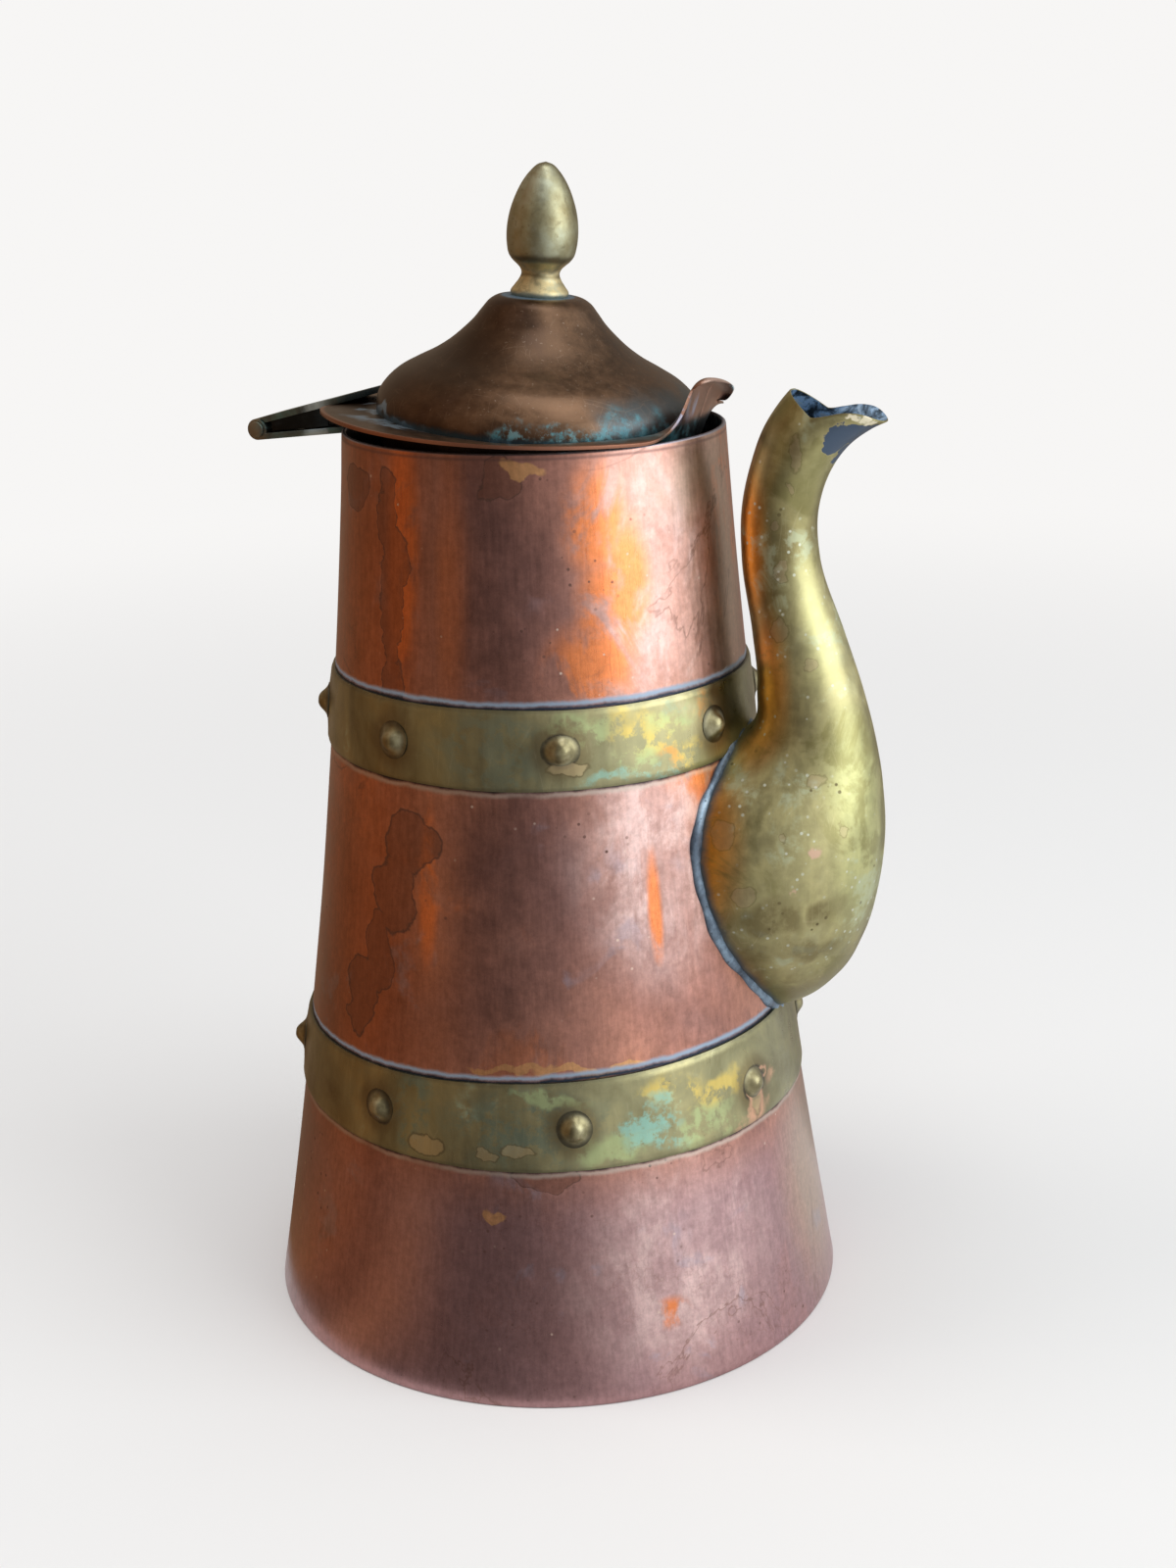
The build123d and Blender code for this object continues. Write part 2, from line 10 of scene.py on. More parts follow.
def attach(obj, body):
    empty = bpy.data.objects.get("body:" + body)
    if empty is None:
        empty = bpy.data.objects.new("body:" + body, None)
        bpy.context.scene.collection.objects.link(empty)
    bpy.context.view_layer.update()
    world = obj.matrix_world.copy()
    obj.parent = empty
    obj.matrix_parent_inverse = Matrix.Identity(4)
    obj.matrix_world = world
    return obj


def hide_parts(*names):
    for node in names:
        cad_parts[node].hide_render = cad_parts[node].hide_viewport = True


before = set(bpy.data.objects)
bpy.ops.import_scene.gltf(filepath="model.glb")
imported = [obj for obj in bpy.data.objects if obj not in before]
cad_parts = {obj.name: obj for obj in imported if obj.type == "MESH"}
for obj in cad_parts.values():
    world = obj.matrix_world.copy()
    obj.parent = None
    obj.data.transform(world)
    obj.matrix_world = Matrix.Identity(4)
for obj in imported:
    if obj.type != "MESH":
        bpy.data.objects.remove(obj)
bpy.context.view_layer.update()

bl_info = {
    "name": "Copper chocolate pot",
    "version": (1, 0, 0),
    "blender": (4, 5, 0),
    "location": "View3D > Sidebar > Pot",
    "description": "Dresses a packed copper pot with worked surfaces and tarnished metals",
    "category": "Add Mesh",
}

MM = 0.001
WELD = 2e-6

# --- shape, in millimetres and degrees; +X points to the spout, +Z up ---
# names that end in TURNS, ROWS, COLUMNS, STEPS or SAMPLES are counts

# body
BODY_HEIGHT = 180.8
HEM_DROP = 0.8
HEM_DEPTH = 0.05
HEM_WIDTH = 0.25
BODY_TURNS = 288
BODY_ROWS = 170
LINING_ROWS = 50
# each wave of the hammering: weight, waves round the body, height per radian of turn, phase
HAMMER_WAVES = ((1.0, 2, 47.0, 0.9), (0.7, 5, -23.0, 0.0), (0.5, 9, 11.0, 2.0), (0.35, 3, 7.0, 0.0))
HAMMER_SCALE = 1.5
HAMMER_FADE_FOOT = 14.0
HAMMER_FADE_RIM = 10.0

# place of the lid's upright frame: height at the axis and tilt towards the spout
LID_HEIGHT = 182.3
LID_TILT = 4.85

# hoops: bottom and top, and the slope of the lower one's top
UPPER_HOOP = (119.9, 134.8)
LOWER_HOOP = (47.1, 63.6)
LOWER_HOOP_TAPER = 2.3
HOOP_TURNS = 480
HOOP_ROWS = 26
# each ripple of an edge: weight, waves round the pot, phase
HOOP_RIPPLES = ((0.10, 3, 1.0), (0.06, 8, 0.0))
HOOP_EDGE = 0.22
HOOP_SEAT = 0.05
HOOP_SWELL = 0.55
HOOP_SWELL_REACH = 4.2

# rivets; the tail is radius and depth below the wall's inner face
RIVET_COUNT = 8
RIVET_FIRST_ANGLE = -19.0
RIVET_TURNS = 28
RIVET_ROWS = 15
RIVET_FLARE = 1.2
RIVET_ROUNDNESS = 0.76
RIVET_RISE = 0.28
RIVET_SEAT = -0.1
RIVET_SHANK = 1.3
RIVET_TAIL = np.array(((RIVET_SHANK, -0.06), (2.0, -0.06), (2.2, -0.25), (2.1, -0.65), (1.2, -0.75),
                       (0.0, -0.78)))
RIVET_SEED = 11
RIVET_STRETCH = 0.04
RIVET_PUSH = 0.1

# port in the body's side behind the spout's bulb
PORT_RADIUS = 9.0
PORT_HEIGHT = 97.0
PORT_REACH = 12.0
PORT_TURNS = 48

# spout; each station: back radius, back height, front radius, front height, half width
SPOUT_STATIONS = np.array((
    (41.0, 63.6, 46.5, 63.6, 1.4),
    (37.0, 67.2, 54.6, 67.2, 4.6),
    (31.7, 74.0, 62.3, 74.0, 11.2),
    (23.4, 82.0, 66.6, 82.0, 17.2),
    (16.4, 93.0, 69.4, 93.0, 21.0),
    (14.2, 104.0, 70.3, 104.0, 21.5),
    (20.0, 112.0, 69.8, 112.0, 18.6),
    (34.6, 118.6, 68.9, 118.6, 14.0),
    (44.2, 124.5, 67.6, 124.5, 11.4),
    (45.3, 132.0, 65.5, 132.0, 10.1),
    (44.3, 142.5, 61.9, 142.5, 8.7),
    (42.1, 157.0, 56.9, 157.0, 7.4),
    (42.1, 166.5, 56.5, 166.0, 7.2),
    (43.8, 174.6, 58.8, 173.6, 7.6),
    (46.3, 181.6, 62.6, 178.8, 7.5),
    (49.5, 186.6, 67.0, 182.0, 6.6),
    (52.9, 190.4, 71.2, 184.4, 6.2),
))
# radius and height of the mouth's edge, seen from the side, and the station from which it is cut
MOUTH_EDGE = np.array(((51.4, 188.5), (56.6, 184.4), (59.4, 184.7), (62.6, 185.2), (66.0, 184.7),
                       (68.4, 183.3), (72.0, 181.0)))
MOUTH_START = 13
LIP_FLARE = 0.55
LIP_FLARE_REACH = 1.6
SPOUT_SINK = 0.25
SPOUT_COLUMNS = 129
SPOUT_ROWS = 210
MOUTH_ROWS = 50
# samples along the spout, round its section and along its mouth where edges are looked for
SPOUT_SAMPLES = 3000
SECTION_SAMPLES = 721
MOUTH_SAMPLES = 600

# solder bead round the spout's root
BEAD_HALF_WIDTH = 1.35
BEAD_HEIGHT = 0.8
BEAD_RISE = 0.05
BEAD_RIPPLES = ((0.16, 9, 0.0), (0.12, 23, 1.0))
BEAD_STEPS = 260
BEAD_COLUMNS = 14
BEAD_SAMPLES = 4000
BEAD_SMOOTHINGS = 6

# lid, in its own upright frame; profiles are radius and height
DOME_PROFILE = np.array(((6.6, 22.8), (8.1, 22.55), (9.6, 21.7), (11.05, 20.0), (12.6, 18.0),
                         (14.7, 15.9), (17.0, 13.9), (20.1, 11.8), (24.0, 9.75), (27.4, 7.75),
                         (29.6, 5.7), (30.95, 3.7), (31.4, 1.7), (31.4, 0.0)))
DOME_SHIFT = 1.2
DOME_SHIFT_POWER = 1.3
DOME_HOLE = 1.93
DOME_TURNS = 240
DOME_ROWS = 110
LINER_GAP = 0.25
LINER_WALL = 0.8
LINER_RISE = 1.5
LINER_FOOT = -5.9
LINER_TURNS = 180
FINIAL_PROFILE = np.array(((5.4, 0.0), (5.55, 0.5), (4.75, 1.9), (4.0, 3.0), (3.62, 4.2),
                           (3.9, 4.95), (4.5, 5.6), (5.5, 6.5), (6.15, 7.4), (6.6, 9.2),
                           (6.75, 11.0), (6.45, 14.6), (5.42, 18.1), (4.25, 20.6), (2.85, 22.6),
                           (1.4, 23.95), (0.0, 24.4)))
FINIAL_STUD = np.array(((0.0, -5.2), (1.7, -5.2), (1.9, -5.0), (1.9, 0.0)))
FINIAL_TURNS = 96
FINIAL_ROWS = 90

# hinge: its pin, the edge of the body's rim and the lines of the two straps above and below it
PIN_REACH = 57.0
PIN_HEIGHT = 178.9
RIM_REACH = 41.0
UPPER_STRAP_SLOPE = 14.2
UPPER_STRAP_OFFSET = 1.2
LOWER_STRAP_SLOPE = 6.0
LOWER_STRAP_OFFSET = -0.9
CHEEK_CLEARANCE = 0.35
CHEEK_SETBACK = 3.4
CHEEK_FACES = (6.85, 6.15)

# brim and thumb tongue; angles are counted from the spout's side
BRIM_KNEE_SHARE = 0.42
BRIM_SET = 0.45
BRIM_DISH = 2.4
BRIM_DROOP = 2.3
BRIM_DROOP_SPREAD = 25.0
BRIM_TUCK = 0.75
BRIM_COLUMNS = 360
BRIM_CROWDING = 1.6
BRIM_ROWS = 20
CURL_ROWS = 15
RIM_CLEARANCE = 0.35
TONGUE_MIDDLE = -1.5
TONGUE_FAR_SHARE = 0.70
TONGUE_ROOT_ANGLE = 40.0
TONGUE_SIDE_ANGLE = 7.0
TONGUE_REACH = 34.6
TONGUE_RISE = 5.5
TONGUE_SKEW = 0.36
TONGUE_SKEW_ANGLE = 11.0
TONGUE_SKEW_LIMIT = 1.3
TONGUE_HOLLOWNESS = 1.3
CURL_RADIUS = 3.05
CURL_TURN = 108.0
CURL_SIDE_ANGLE = 12.0


def length(name, value, description):
    """A size in millimetres as a Blender length."""
    return FloatProperty(name=name, default=value * MM, min=0.0, unit="LENGTH", description=description)


def colour(name, value, description):
    """A metal's colour."""
    return FloatVectorProperty(name=name, default=value, size=3, min=0.0, max=1.0, subtype="COLOR",
                               description=description)


class PotSizes(bpy.types.PropertyGroup):
    """Sizes of the worked sheet that a user would change."""

    base_radius: length("Base radius", 60.0, "Outer radius of the body at the table")
    rim_radius: length("Rim radius", 37.1, "Outer radius of the body at its rim")
    body_bow: length("Body bow", 2.4, "How far the side is drawn in from a straight cone")
    body_wall: length("Body wall", 0.9, "Thickness of the copper body")
    hammer_depth: length("Hammer depth", 0.10, "How far the body wanders from a true cone")
    hoop_thickness: length("Hoop thickness", 0.7, "Thickness of the brass hoops")
    rivet_radius: length("Rivet radius", 3.0, "Radius of a rivet's head")
    rivet_height: length("Rivet height", 1.95, "Height of a rivet's head")
    spout_wall: length("Spout wall", 1.0, "Thickness of the brass spout")
    dome_wall: length("Dome wall", 0.8, "Thickness of the lid's dome")
    brim_radius: length("Brim radius", 41.0, "Outer radius of the lid's brim")
    brim_thickness: length("Brim thickness", 0.9, "Thickness of the lid's brim")


class PotColours(bpy.types.PropertyGroup):
    """Colours of the metals that a user would change."""

    copper: colour("Copper", (0.48, 0.225, 0.16), "Rubbed copper of the body")
    copper_bright: colour("Bright copper", (0.74, 0.235, 0.085), "Fresh orange copper")
    copper_dull: colour("Dull copper", (0.26, 0.14, 0.125), "Purple-brown copper")
    lid_copper: colour("Lid copper", (0.105, 0.060, 0.034), "Dark brown copper of the lid")
    hoop_brass: colour("Hoop brass", (0.285, 0.27, 0.15), "Tarnished brass of the hoops")
    spout_brass: colour("Spout brass", (0.345, 0.315, 0.15), "Worn brass of the spout")
    finial_brass: colour("Finial brass", (0.33, 0.315, 0.195), "Dull brass of the finial")
    verdigris: colour("Verdigris", (0.10, 0.34, 0.40), "Blue-green tarnish")
    solder: colour("Solder", (0.12, 0.165, 0.22), "Grey-blue solder and its tarnish")


def sizes():
    """The sizes in the scene."""
    return bpy.context.scene.pot_sizes


def colours():
    """The colours in the scene."""
    return bpy.context.scene.pot_colours


# --- curves and meshes ---


def smooth_through(knots, values, at):
    """Cubic curve through values at knots: each span is a Hermite cubic on its neighbours' slopes."""
    slopes = np.gradient(values, knots, axis=0)
    span = np.clip(np.searchsorted(knots, at, side="right") - 1, 0, len(knots) - 2)
    gap = knots[span + 1] - knots[span]
    t = (at - knots[span]) / gap
    if values.ndim > 1:
        gap = gap[..., None]
        t = t[..., None]
    low = (1 + 2 * t) * (1 - t) ** 2 * values[span] + t * (1 - t) ** 2 * gap * slopes[span]
    high = t * t * (3 - 2 * t) * values[span + 1] + t * t * (t - 1) * gap * slopes[span + 1]
    return low + high


def smooth_profile(points, count):
    """Evenly stepped smooth curve through (radius, height) points, by their distance along it."""
    steps = np.linalg.norm(np.diff(points, axis=0), axis=1)
    knots = np.concatenate(([0.0], np.cumsum(steps)))
    return smooth_through(knots, points, np.linspace(0.0, knots[-1], count))


def smooth_step(share):
    """0 below 0, 1 above 1, and 3s^2 - 2s^3 between them."""
    share = np.clip(share, 0.0, 1.0)
    return share * share * (3 - 2 * share)


def body_radius(height):
    """Straight cone from base to rim, less a shallow bow of 4 b s (1 - s)."""
    size = sizes()
    share = height / BODY_HEIGHT
    straight = size.base_radius + (size.rim_radius - size.base_radius) * share
    return (straight - 4 * size.body_bow * share * (1 - share)) / MM


def hammered(angle, height):
    """Wander of the hand-worked side: the sum of w sin(n angle + height / pitch + phase) over its waves.

    It fades out at the base and the rim, and HAMMER_SCALE brings the sum to about the depth.
    """
    fade = smooth_step(height / HAMMER_FADE_FOOT) * smooth_step((BODY_HEIGHT - height) / HAMMER_FADE_RIM)
    wave = sum(weight * np.sin(turns * angle + height / pitch + phase)
               for weight, turns, pitch, phase in HAMMER_WAVES)
    return sizes().hammer_depth / MM * fade * wave / HAMMER_SCALE


def rippled(ripples, angle):
    """Sum of weight * sin(waves * angle + phase) over some ripples."""
    return sum(weight * np.sin(turns * angle + phase) for weight, turns, phase in ripples)


def around(radius, angle, height):
    """Points from radius, angle in radians and height."""
    return np.stack([radius * np.cos(angle), radius * np.sin(angle), height + 0 * angle], axis=-1)


def full_turn(count):
    """A row of evenly stepped angles once round."""
    return np.linspace(0.0, 2 * np.pi, count, endpoint=False)[None, :]


def spun(profile, count):
    """A (radius, height) profile turned about Z into a grid of rows by turns."""
    angle = full_turn(count)
    return around(profile[:, :1] + 0 * angle, angle, profile[:, 1:])


def on_lid(points):
    """From the lid's own upright frame to the pot's: a tilt about Y, then up."""
    tilt = math.radians(LID_TILT)
    x = points[..., 0] * math.cos(tilt) + points[..., 2] * math.sin(tilt)
    z = points[..., 2] * math.cos(tilt) - points[..., 0] * math.sin(tilt)
    return np.stack([x, points[..., 1], z + LID_HEIGHT], axis=-1)


def grid_faces(rows, columns, wrap_rows=False, wrap_columns=False):
    """Quads of a grid, facing along (row direction) x (column direction)."""
    row, column = np.meshgrid(np.arange(rows if wrap_rows else rows - 1),
                              np.arange(columns if wrap_columns else columns - 1), indexing="ij")
    next_row = (row + 1) % rows
    next_column = (column + 1) % columns
    corners = [row * columns + column, next_row * columns + column,
               next_row * columns + next_column, row * columns + next_column]
    return np.stack(corners, axis=-1).reshape(-1, 4)


def new_piece(name, points, faces, closed=True):
    """Object from an array of millimetre points and quads, welded, with a closed skin facing out."""
    mesh = bpy.data.meshes.new(name)
    mesh.from_pydata((points.reshape(-1, 3) * MM).tolist(), [], faces.tolist())
    work = bmesh.new()
    work.from_mesh(mesh)
    bmesh.ops.remove_doubles(work, verts=work.verts, dist=WELD)
    if closed:
        bmesh.ops.recalc_face_normals(work, faces=work.faces)
    work.to_mesh(mesh)
    work.free()
    piece = bpy.data.objects.new(name, mesh)
    bpy.context.scene.collection.objects.link(piece)
    return piece


def grid_piece(name, grid, wrap_rows=True, wrap_columns=True, closed=True):
    """Object from a grid of points, by default one that closes both ways."""
    return new_piece(name, grid, grid_faces(*grid.shape[:2], wrap_rows, wrap_columns), closed)


def thicken(piece, wall):
    """Gives a sheet its wall, laid inwards."""
    solid = piece.modifiers.new("wall", "SOLIDIFY")
    solid.thickness = wall
    solid.offset = -1.0
    solid.use_even_offset = True
    solid.thickness_clamp = 1.0
    return solid


def settle(piece, crease=38.0):
    """Applies the piece's modifiers and shades it smooth, with creases kept sharp."""
    bpy.context.view_layer.update()
    shaped = piece.evaluated_get(bpy.context.evaluated_depsgraph_get())
    mesh = bpy.data.meshes.new_from_object(shaped)
    piece.modifiers.clear()
    piece.data = mesh
    mesh.shade_smooth()
    mesh.set_sharp_from_angle(angle=math.radians(crease))
    return piece


def round_edges(piece, rounding, angle=50.0):
    """Rounds edges that turn by more than an angle."""
    bevel = piece.modifiers.new("edges", "BEVEL")
    bevel.width = rounding * MM
    bevel.segments = 2
    bevel.limit_method = "ANGLE"
    bevel.angle_limit = math.radians(angle)
    bevel.use_clamp_overlap = True


def finish_piece(piece, materials, body, slot, *nodes):
    """Puts a finished piece on its body, for the nodes that it stands for; the slot is not used."""
    for material in materials:
        piece.data.materials.append(material)
    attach(piece, body)
    if nodes:
        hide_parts(*nodes)
    return piece


def dress_node(node, material):
    """Gives a carried-over node a material."""
    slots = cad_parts[node].data.materials
    slots.clear()
    slots.append(material)


# --- surfaces ---


def body_skin():
    """Closed section of the body turned about Z: outer side, round rim, inner side, round foot."""
    wall = sizes().body_wall / MM
    half = wall / 2
    turn = np.linspace(0.0, np.pi, 7)[1:-1]
    outer = np.linspace(half, BODY_HEIGHT - half, BODY_ROWS)
    inner = np.linspace(BODY_HEIGHT - half, half, LINING_ROWS)
    rim = np.stack([np.cos(turn) * half - half, BODY_HEIGHT - half + np.sin(turn) * half], axis=-1)
    foot = np.stack([-np.cos(turn) * half - half, half - np.sin(turn) * half], axis=-1)
    hem = -HEM_DEPTH * np.exp(-(((BODY_HEIGHT - HEM_DROP - outer) / HEM_WIDTH) ** 2))
    section = np.concatenate([np.stack([hem, outer], axis=-1), rim,
                              np.stack([-wall + 0 * inner, inner], axis=-1), foot])
    angle = full_turn(BODY_TURNS)
    height = section[:, 1:]
    radius = body_radius(height) + section[:, :1] + hammered(angle, height)
    return around(radius, angle, height)


def hoop_skin(bottom, top, taper):
    """Closed section of a hoop turned about Z, swelled over each rivet's foot.

    Its top rises with x by the tangent of a taper; a swell is HOOP_SWELL exp(-(distance / reach)^2).
    """
    thickness = sizes().hoop_thickness / MM
    angle = full_turn(HOOP_TURNS)
    across = np.concatenate([[0.0], np.linspace(0.0, 1.0, HOOP_ROWS), [1.0]])
    flat = HOOP_ROWS - 2
    outset = np.concatenate([[HOOP_SEAT, thickness - HOOP_EDGE], np.full(flat, thickness),
                             [thickness - HOOP_EDGE, HOOP_SEAT]])
    inset = np.concatenate([[0.0, 0.0], np.full(flat, HOOP_EDGE), [0.0, 0.0]])[:, None]
    uneven = rippled(HOOP_RIPPLES, angle)
    high = top + math.tan(math.radians(taper)) * body_radius(top) * np.cos(angle) + uneven
    low = bottom + uneven[:, ::-1]
    share = across[:, None]
    height = low + (high - low) * share + inset * (1 - 2 * share)
    middle = (bottom + top) / 2
    swell = np.zeros_like(height)
    for turn in rivet_angles():
        gap = np.angle(np.exp(1j * (angle - turn))) * body_radius(middle)
        swell = swell + np.exp(-(gap**2 + (height - middle) ** 2) / HOOP_SWELL_REACH**2)
    bulge = HOOP_SWELL * swell * (outset[:, None] > HOOP_SEAT)
    radius = body_radius(height) + hammered(angle, height) + outset[:, None] + bulge
    return around(radius, angle, height)


def rivet_angles():
    """Angles of the rivets from the spout side, in radians."""
    return np.radians(RIVET_FIRST_ANGLE + 360.0 / RIVET_COUNT * np.arange(RIVET_COUNT))


def rivet_skins(height, random):
    """A turned rivet for each angle; its head rises as exp(-(r / width)^3), a dome with a flared foot."""
    size = sizes()
    grip = (size.hoop_thickness + size.body_wall) / MM
    reach = size.rivet_radius / MM * RIVET_FLARE * np.linspace(0.0, 1.0, RIVET_ROWS)
    swell = np.exp(-((reach / (RIVET_ROUNDNESS * size.rivet_radius / MM)) ** 3))
    head = np.stack([reach, RIVET_RISE + size.rivet_height / MM * swell], axis=-1)
    seat = np.array(((reach[-1], RIVET_SEAT), (RIVET_SHANK, RIVET_SEAT)))
    one = spun(np.concatenate([head, seat, RIVET_TAIL - np.array([0.0, grip])]), RIVET_TURNS)
    lean = math.atan(body_radius(height) - body_radius(height + 1.0))
    centre_radius = body_radius(height) + size.hoop_thickness / MM
    grids = []
    for angle in rivet_angles():
        made = one * (1 + random.uniform(-RIVET_STRETCH, RIVET_STRETCH, 3))
        out = (made[..., 2] + random.uniform(-RIVET_PUSH, RIVET_PUSH))[..., None]
        outward = np.array([np.cos(lean) * np.cos(angle), np.cos(lean) * np.sin(angle), np.sin(lean)])
        across = np.array([-np.sin(angle), np.cos(angle), 0.0])
        upward = np.cross(outward, across)
        centre = np.array([centre_radius * np.cos(angle), centre_radius * np.sin(angle), height])
        grids.append(centre + outward * out + across * made[..., :1] + upward * made[..., 1:2])
    return np.array(grids)


def spout_knots():
    """Distance along the middle of the spout's stations."""
    middle = (SPOUT_STATIONS[:, 0:2] + SPOUT_STATIONS[:, 2:4]) / 2
    return np.concatenate(([0.0], np.cumsum(np.linalg.norm(np.diff(middle, axis=0), axis=1))))


def spout_points(along, turn):
    """Ellipse through the back and front lines at a distance along; turn 0 is the front."""
    row = smooth_through(spout_knots(), SPOUT_STATIONS, along)
    middle = (row[..., 0:2] + row[..., 2:4]) / 2
    reach = (row[..., 2:4] - row[..., 0:2]) / 2
    x = middle[..., 0] + reach[..., 0] * np.cos(turn)
    z = middle[..., 1] + reach[..., 1] * np.cos(turn)
    return np.stack([x, row[..., 4] * np.sin(turn), z], axis=-1)


def spout_root_turn(along, sink):
    """Turn at which each section of the spout meets the body's side, or pi where it stands clear."""
    turn = np.linspace(0.0, np.pi, SECTION_SAMPLES)
    points = spout_points(along[:, None] + 0 * turn, turn[None, :] + 0 * along[:, None])
    gap = np.hypot(points[..., 0], points[..., 1]) - body_radius(points[..., 2]) + sink
    inside = gap < 0
    first = np.argmax(inside, axis=1)
    rows = np.arange(len(along))
    before = np.maximum(first - 1, 0)
    drop = gap[rows, before] - gap[rows, first]
    share = np.where(drop > 0, gap[rows, before] / np.where(drop > 0, drop, 1.0), 0.0)
    met = turn[before] + share * (turn[1] - turn[0])
    return np.where(inside.any(axis=1), np.where(first == 0, 0.0, met), np.pi)


def spout_skin():
    """The spout's outer sheet from its root to its mouth, each column cut at the mouth's edge.

    Towards the mouth's front it flares by LIP_FLARE exp(-(distance to the edge / reach)^2).
    """
    knots = spout_knots()
    scan = np.linspace(0.0, knots[-1], SPOUT_SAMPLES)
    start = scan[np.argmax(spout_root_turn(scan, SPOUT_SINK) > 0)]
    cut_from = knots[MOUTH_START]
    columns = np.linspace(1.0, -1.0, SPOUT_COLUMNS)
    scan = np.linspace(cut_from, knots[-1], MOUTH_SAMPLES)[:, None]
    trial = spout_points(scan + 0 * columns, np.pi * columns[None, :] + 0 * scan)
    edge = smooth_through(MOUTH_EDGE[:, 0], MOUTH_EDGE[:, 1], trial[..., 0])
    edge = np.where(trial[..., 0] < MOUTH_EDGE[1, 0], np.interp(trial[..., 0], *MOUTH_EDGE.T), edge)
    over = trial[..., 2] - edge
    first = np.maximum(np.argmax(over > 0, axis=0), 1)
    pick = np.arange(len(columns))
    share = over[first - 1, pick] / (over[first - 1, pick] - over[first, pick])
    end = scan[first - 1, 0] + share * (scan[1, 0] - scan[0, 0])
    rows = np.concatenate([np.linspace(start, cut_from, SPOUT_ROWS)[:-1],
                           np.linspace(cut_from, knots[-1], MOUTH_ROWS)])
    rise = np.clip((rows - cut_from) / (knots[-1] - cut_from), 0.0, 1.0)[:, None]
    along = np.minimum(rows, cut_from)[:, None] + (end - cut_from)[None, :] * rise
    turn = spout_root_turn(rows, SPOUT_SINK)[:, None] * columns[None, :]
    points = spout_points(along, turn)
    flare = LIP_FLARE * np.exp(-(((end[None, :] - along) / LIP_FLARE_REACH) ** 2)) * (rise > 0)
    outward = np.stack([np.cos(turn), np.sin(turn), 0 * turn], axis=-1)
    front = smooth_step(0.5 + np.cos(turn))[..., None]
    return points + outward * flare[..., None] * front


def bead_skin():
    """Solder bead: a flat tube along the closed line where the spout's sides meet the body."""
    scan = np.linspace(0.0, spout_knots()[-1], BEAD_SAMPLES)
    met = spout_root_turn(scan, 0.0)
    shown = (met > 0) & (met < np.pi)
    low, high = scan[shown][0], scan[shown][-1]
    round_turn = full_turn(BEAD_STEPS)[0]
    along = low + (high - low) * (1 - np.cos(round_turn)) / 2
    turn = spout_root_turn(along, 0.0) * np.where(round_turn > np.pi, -1.0, 1.0)
    path = spout_points(along, np.clip(turn, -np.pi, np.pi))
    for _ in range(BEAD_SMOOTHINGS):
        path = (np.roll(path, 1, axis=0) + 2 * path + np.roll(path, -1, axis=0)) / 4
    path[:, :2] *= (body_radius(path[:, 2]) / np.hypot(path[:, 0], path[:, 1]))[:, None]
    run = np.roll(path, -1, axis=0) - np.roll(path, 1, axis=0)
    run /= np.linalg.norm(run, axis=1)[:, None]
    out = path * np.array([1.0, 1.0, 0.0])
    out /= np.linalg.norm(out, axis=1)[:, None]
    side = np.cross(run, out)
    step = full_turn(BEAD_COLUMNS)[..., None]
    swell = (1 + rippled(BEAD_RIPPLES, round_turn))[:, None, None]
    return (path[:, None, :] + side[:, None, :] * np.cos(step) * BEAD_HALF_WIDTH * swell
            + out[:, None, :] * (np.sin(step) * BEAD_HEIGHT * swell + BEAD_RISE))


def dome_skin():
    """Closed section of the dome's sheet turned about the lid's axis, its foot shifted towards the spout.

    Shift along X = DOME_SHIFT * (radius / foot radius) ^ DOME_SHIFT_POWER.
    """
    wall = sizes().dome_wall / MM
    outer = smooth_profile(DOME_PROFILE, DOME_ROWS)
    run = np.gradient(outer, axis=0)
    run /= np.linalg.norm(run, axis=1)[:, None]
    inner = outer + np.stack([run[:, 1], -run[:, 0]], axis=1) * wall
    top = DOME_PROFILE[0, 1]
    rows = np.concatenate([[(DOME_HOLE, top)], outer, inner[::-1], [(DOME_HOLE, top - wall)]])
    ring = spun(rows, DOME_TURNS)
    ring[..., 0] += DOME_SHIFT * (rows[:, :1] / DOME_PROFILE[-1, 0]) ** DOME_SHIFT_POWER
    return on_lid(ring)


def liner_skin():
    """Closed section of the liner ring turned about the lid's axis, shifted with the dome's foot."""
    outer = DOME_PROFILE[-1, 0] - sizes().dome_wall / MM - LINER_GAP
    section = np.array(((outer, LINER_RISE), (outer, LINER_FOOT), (outer - LINER_WALL, LINER_FOOT),
                        (outer - LINER_WALL, LINER_RISE)))
    ring = spun(section, LINER_TURNS)
    ring[..., 0] += DOME_SHIFT
    return on_lid(ring)


def tongue_angle(angle):
    """Degrees from the tongue's middle, counted short on its far side, which is bent wider."""
    turn = angle - TONGUE_MIDDLE
    return np.abs(np.where(turn > 0, turn * TONGUE_FAR_SHARE, turn))


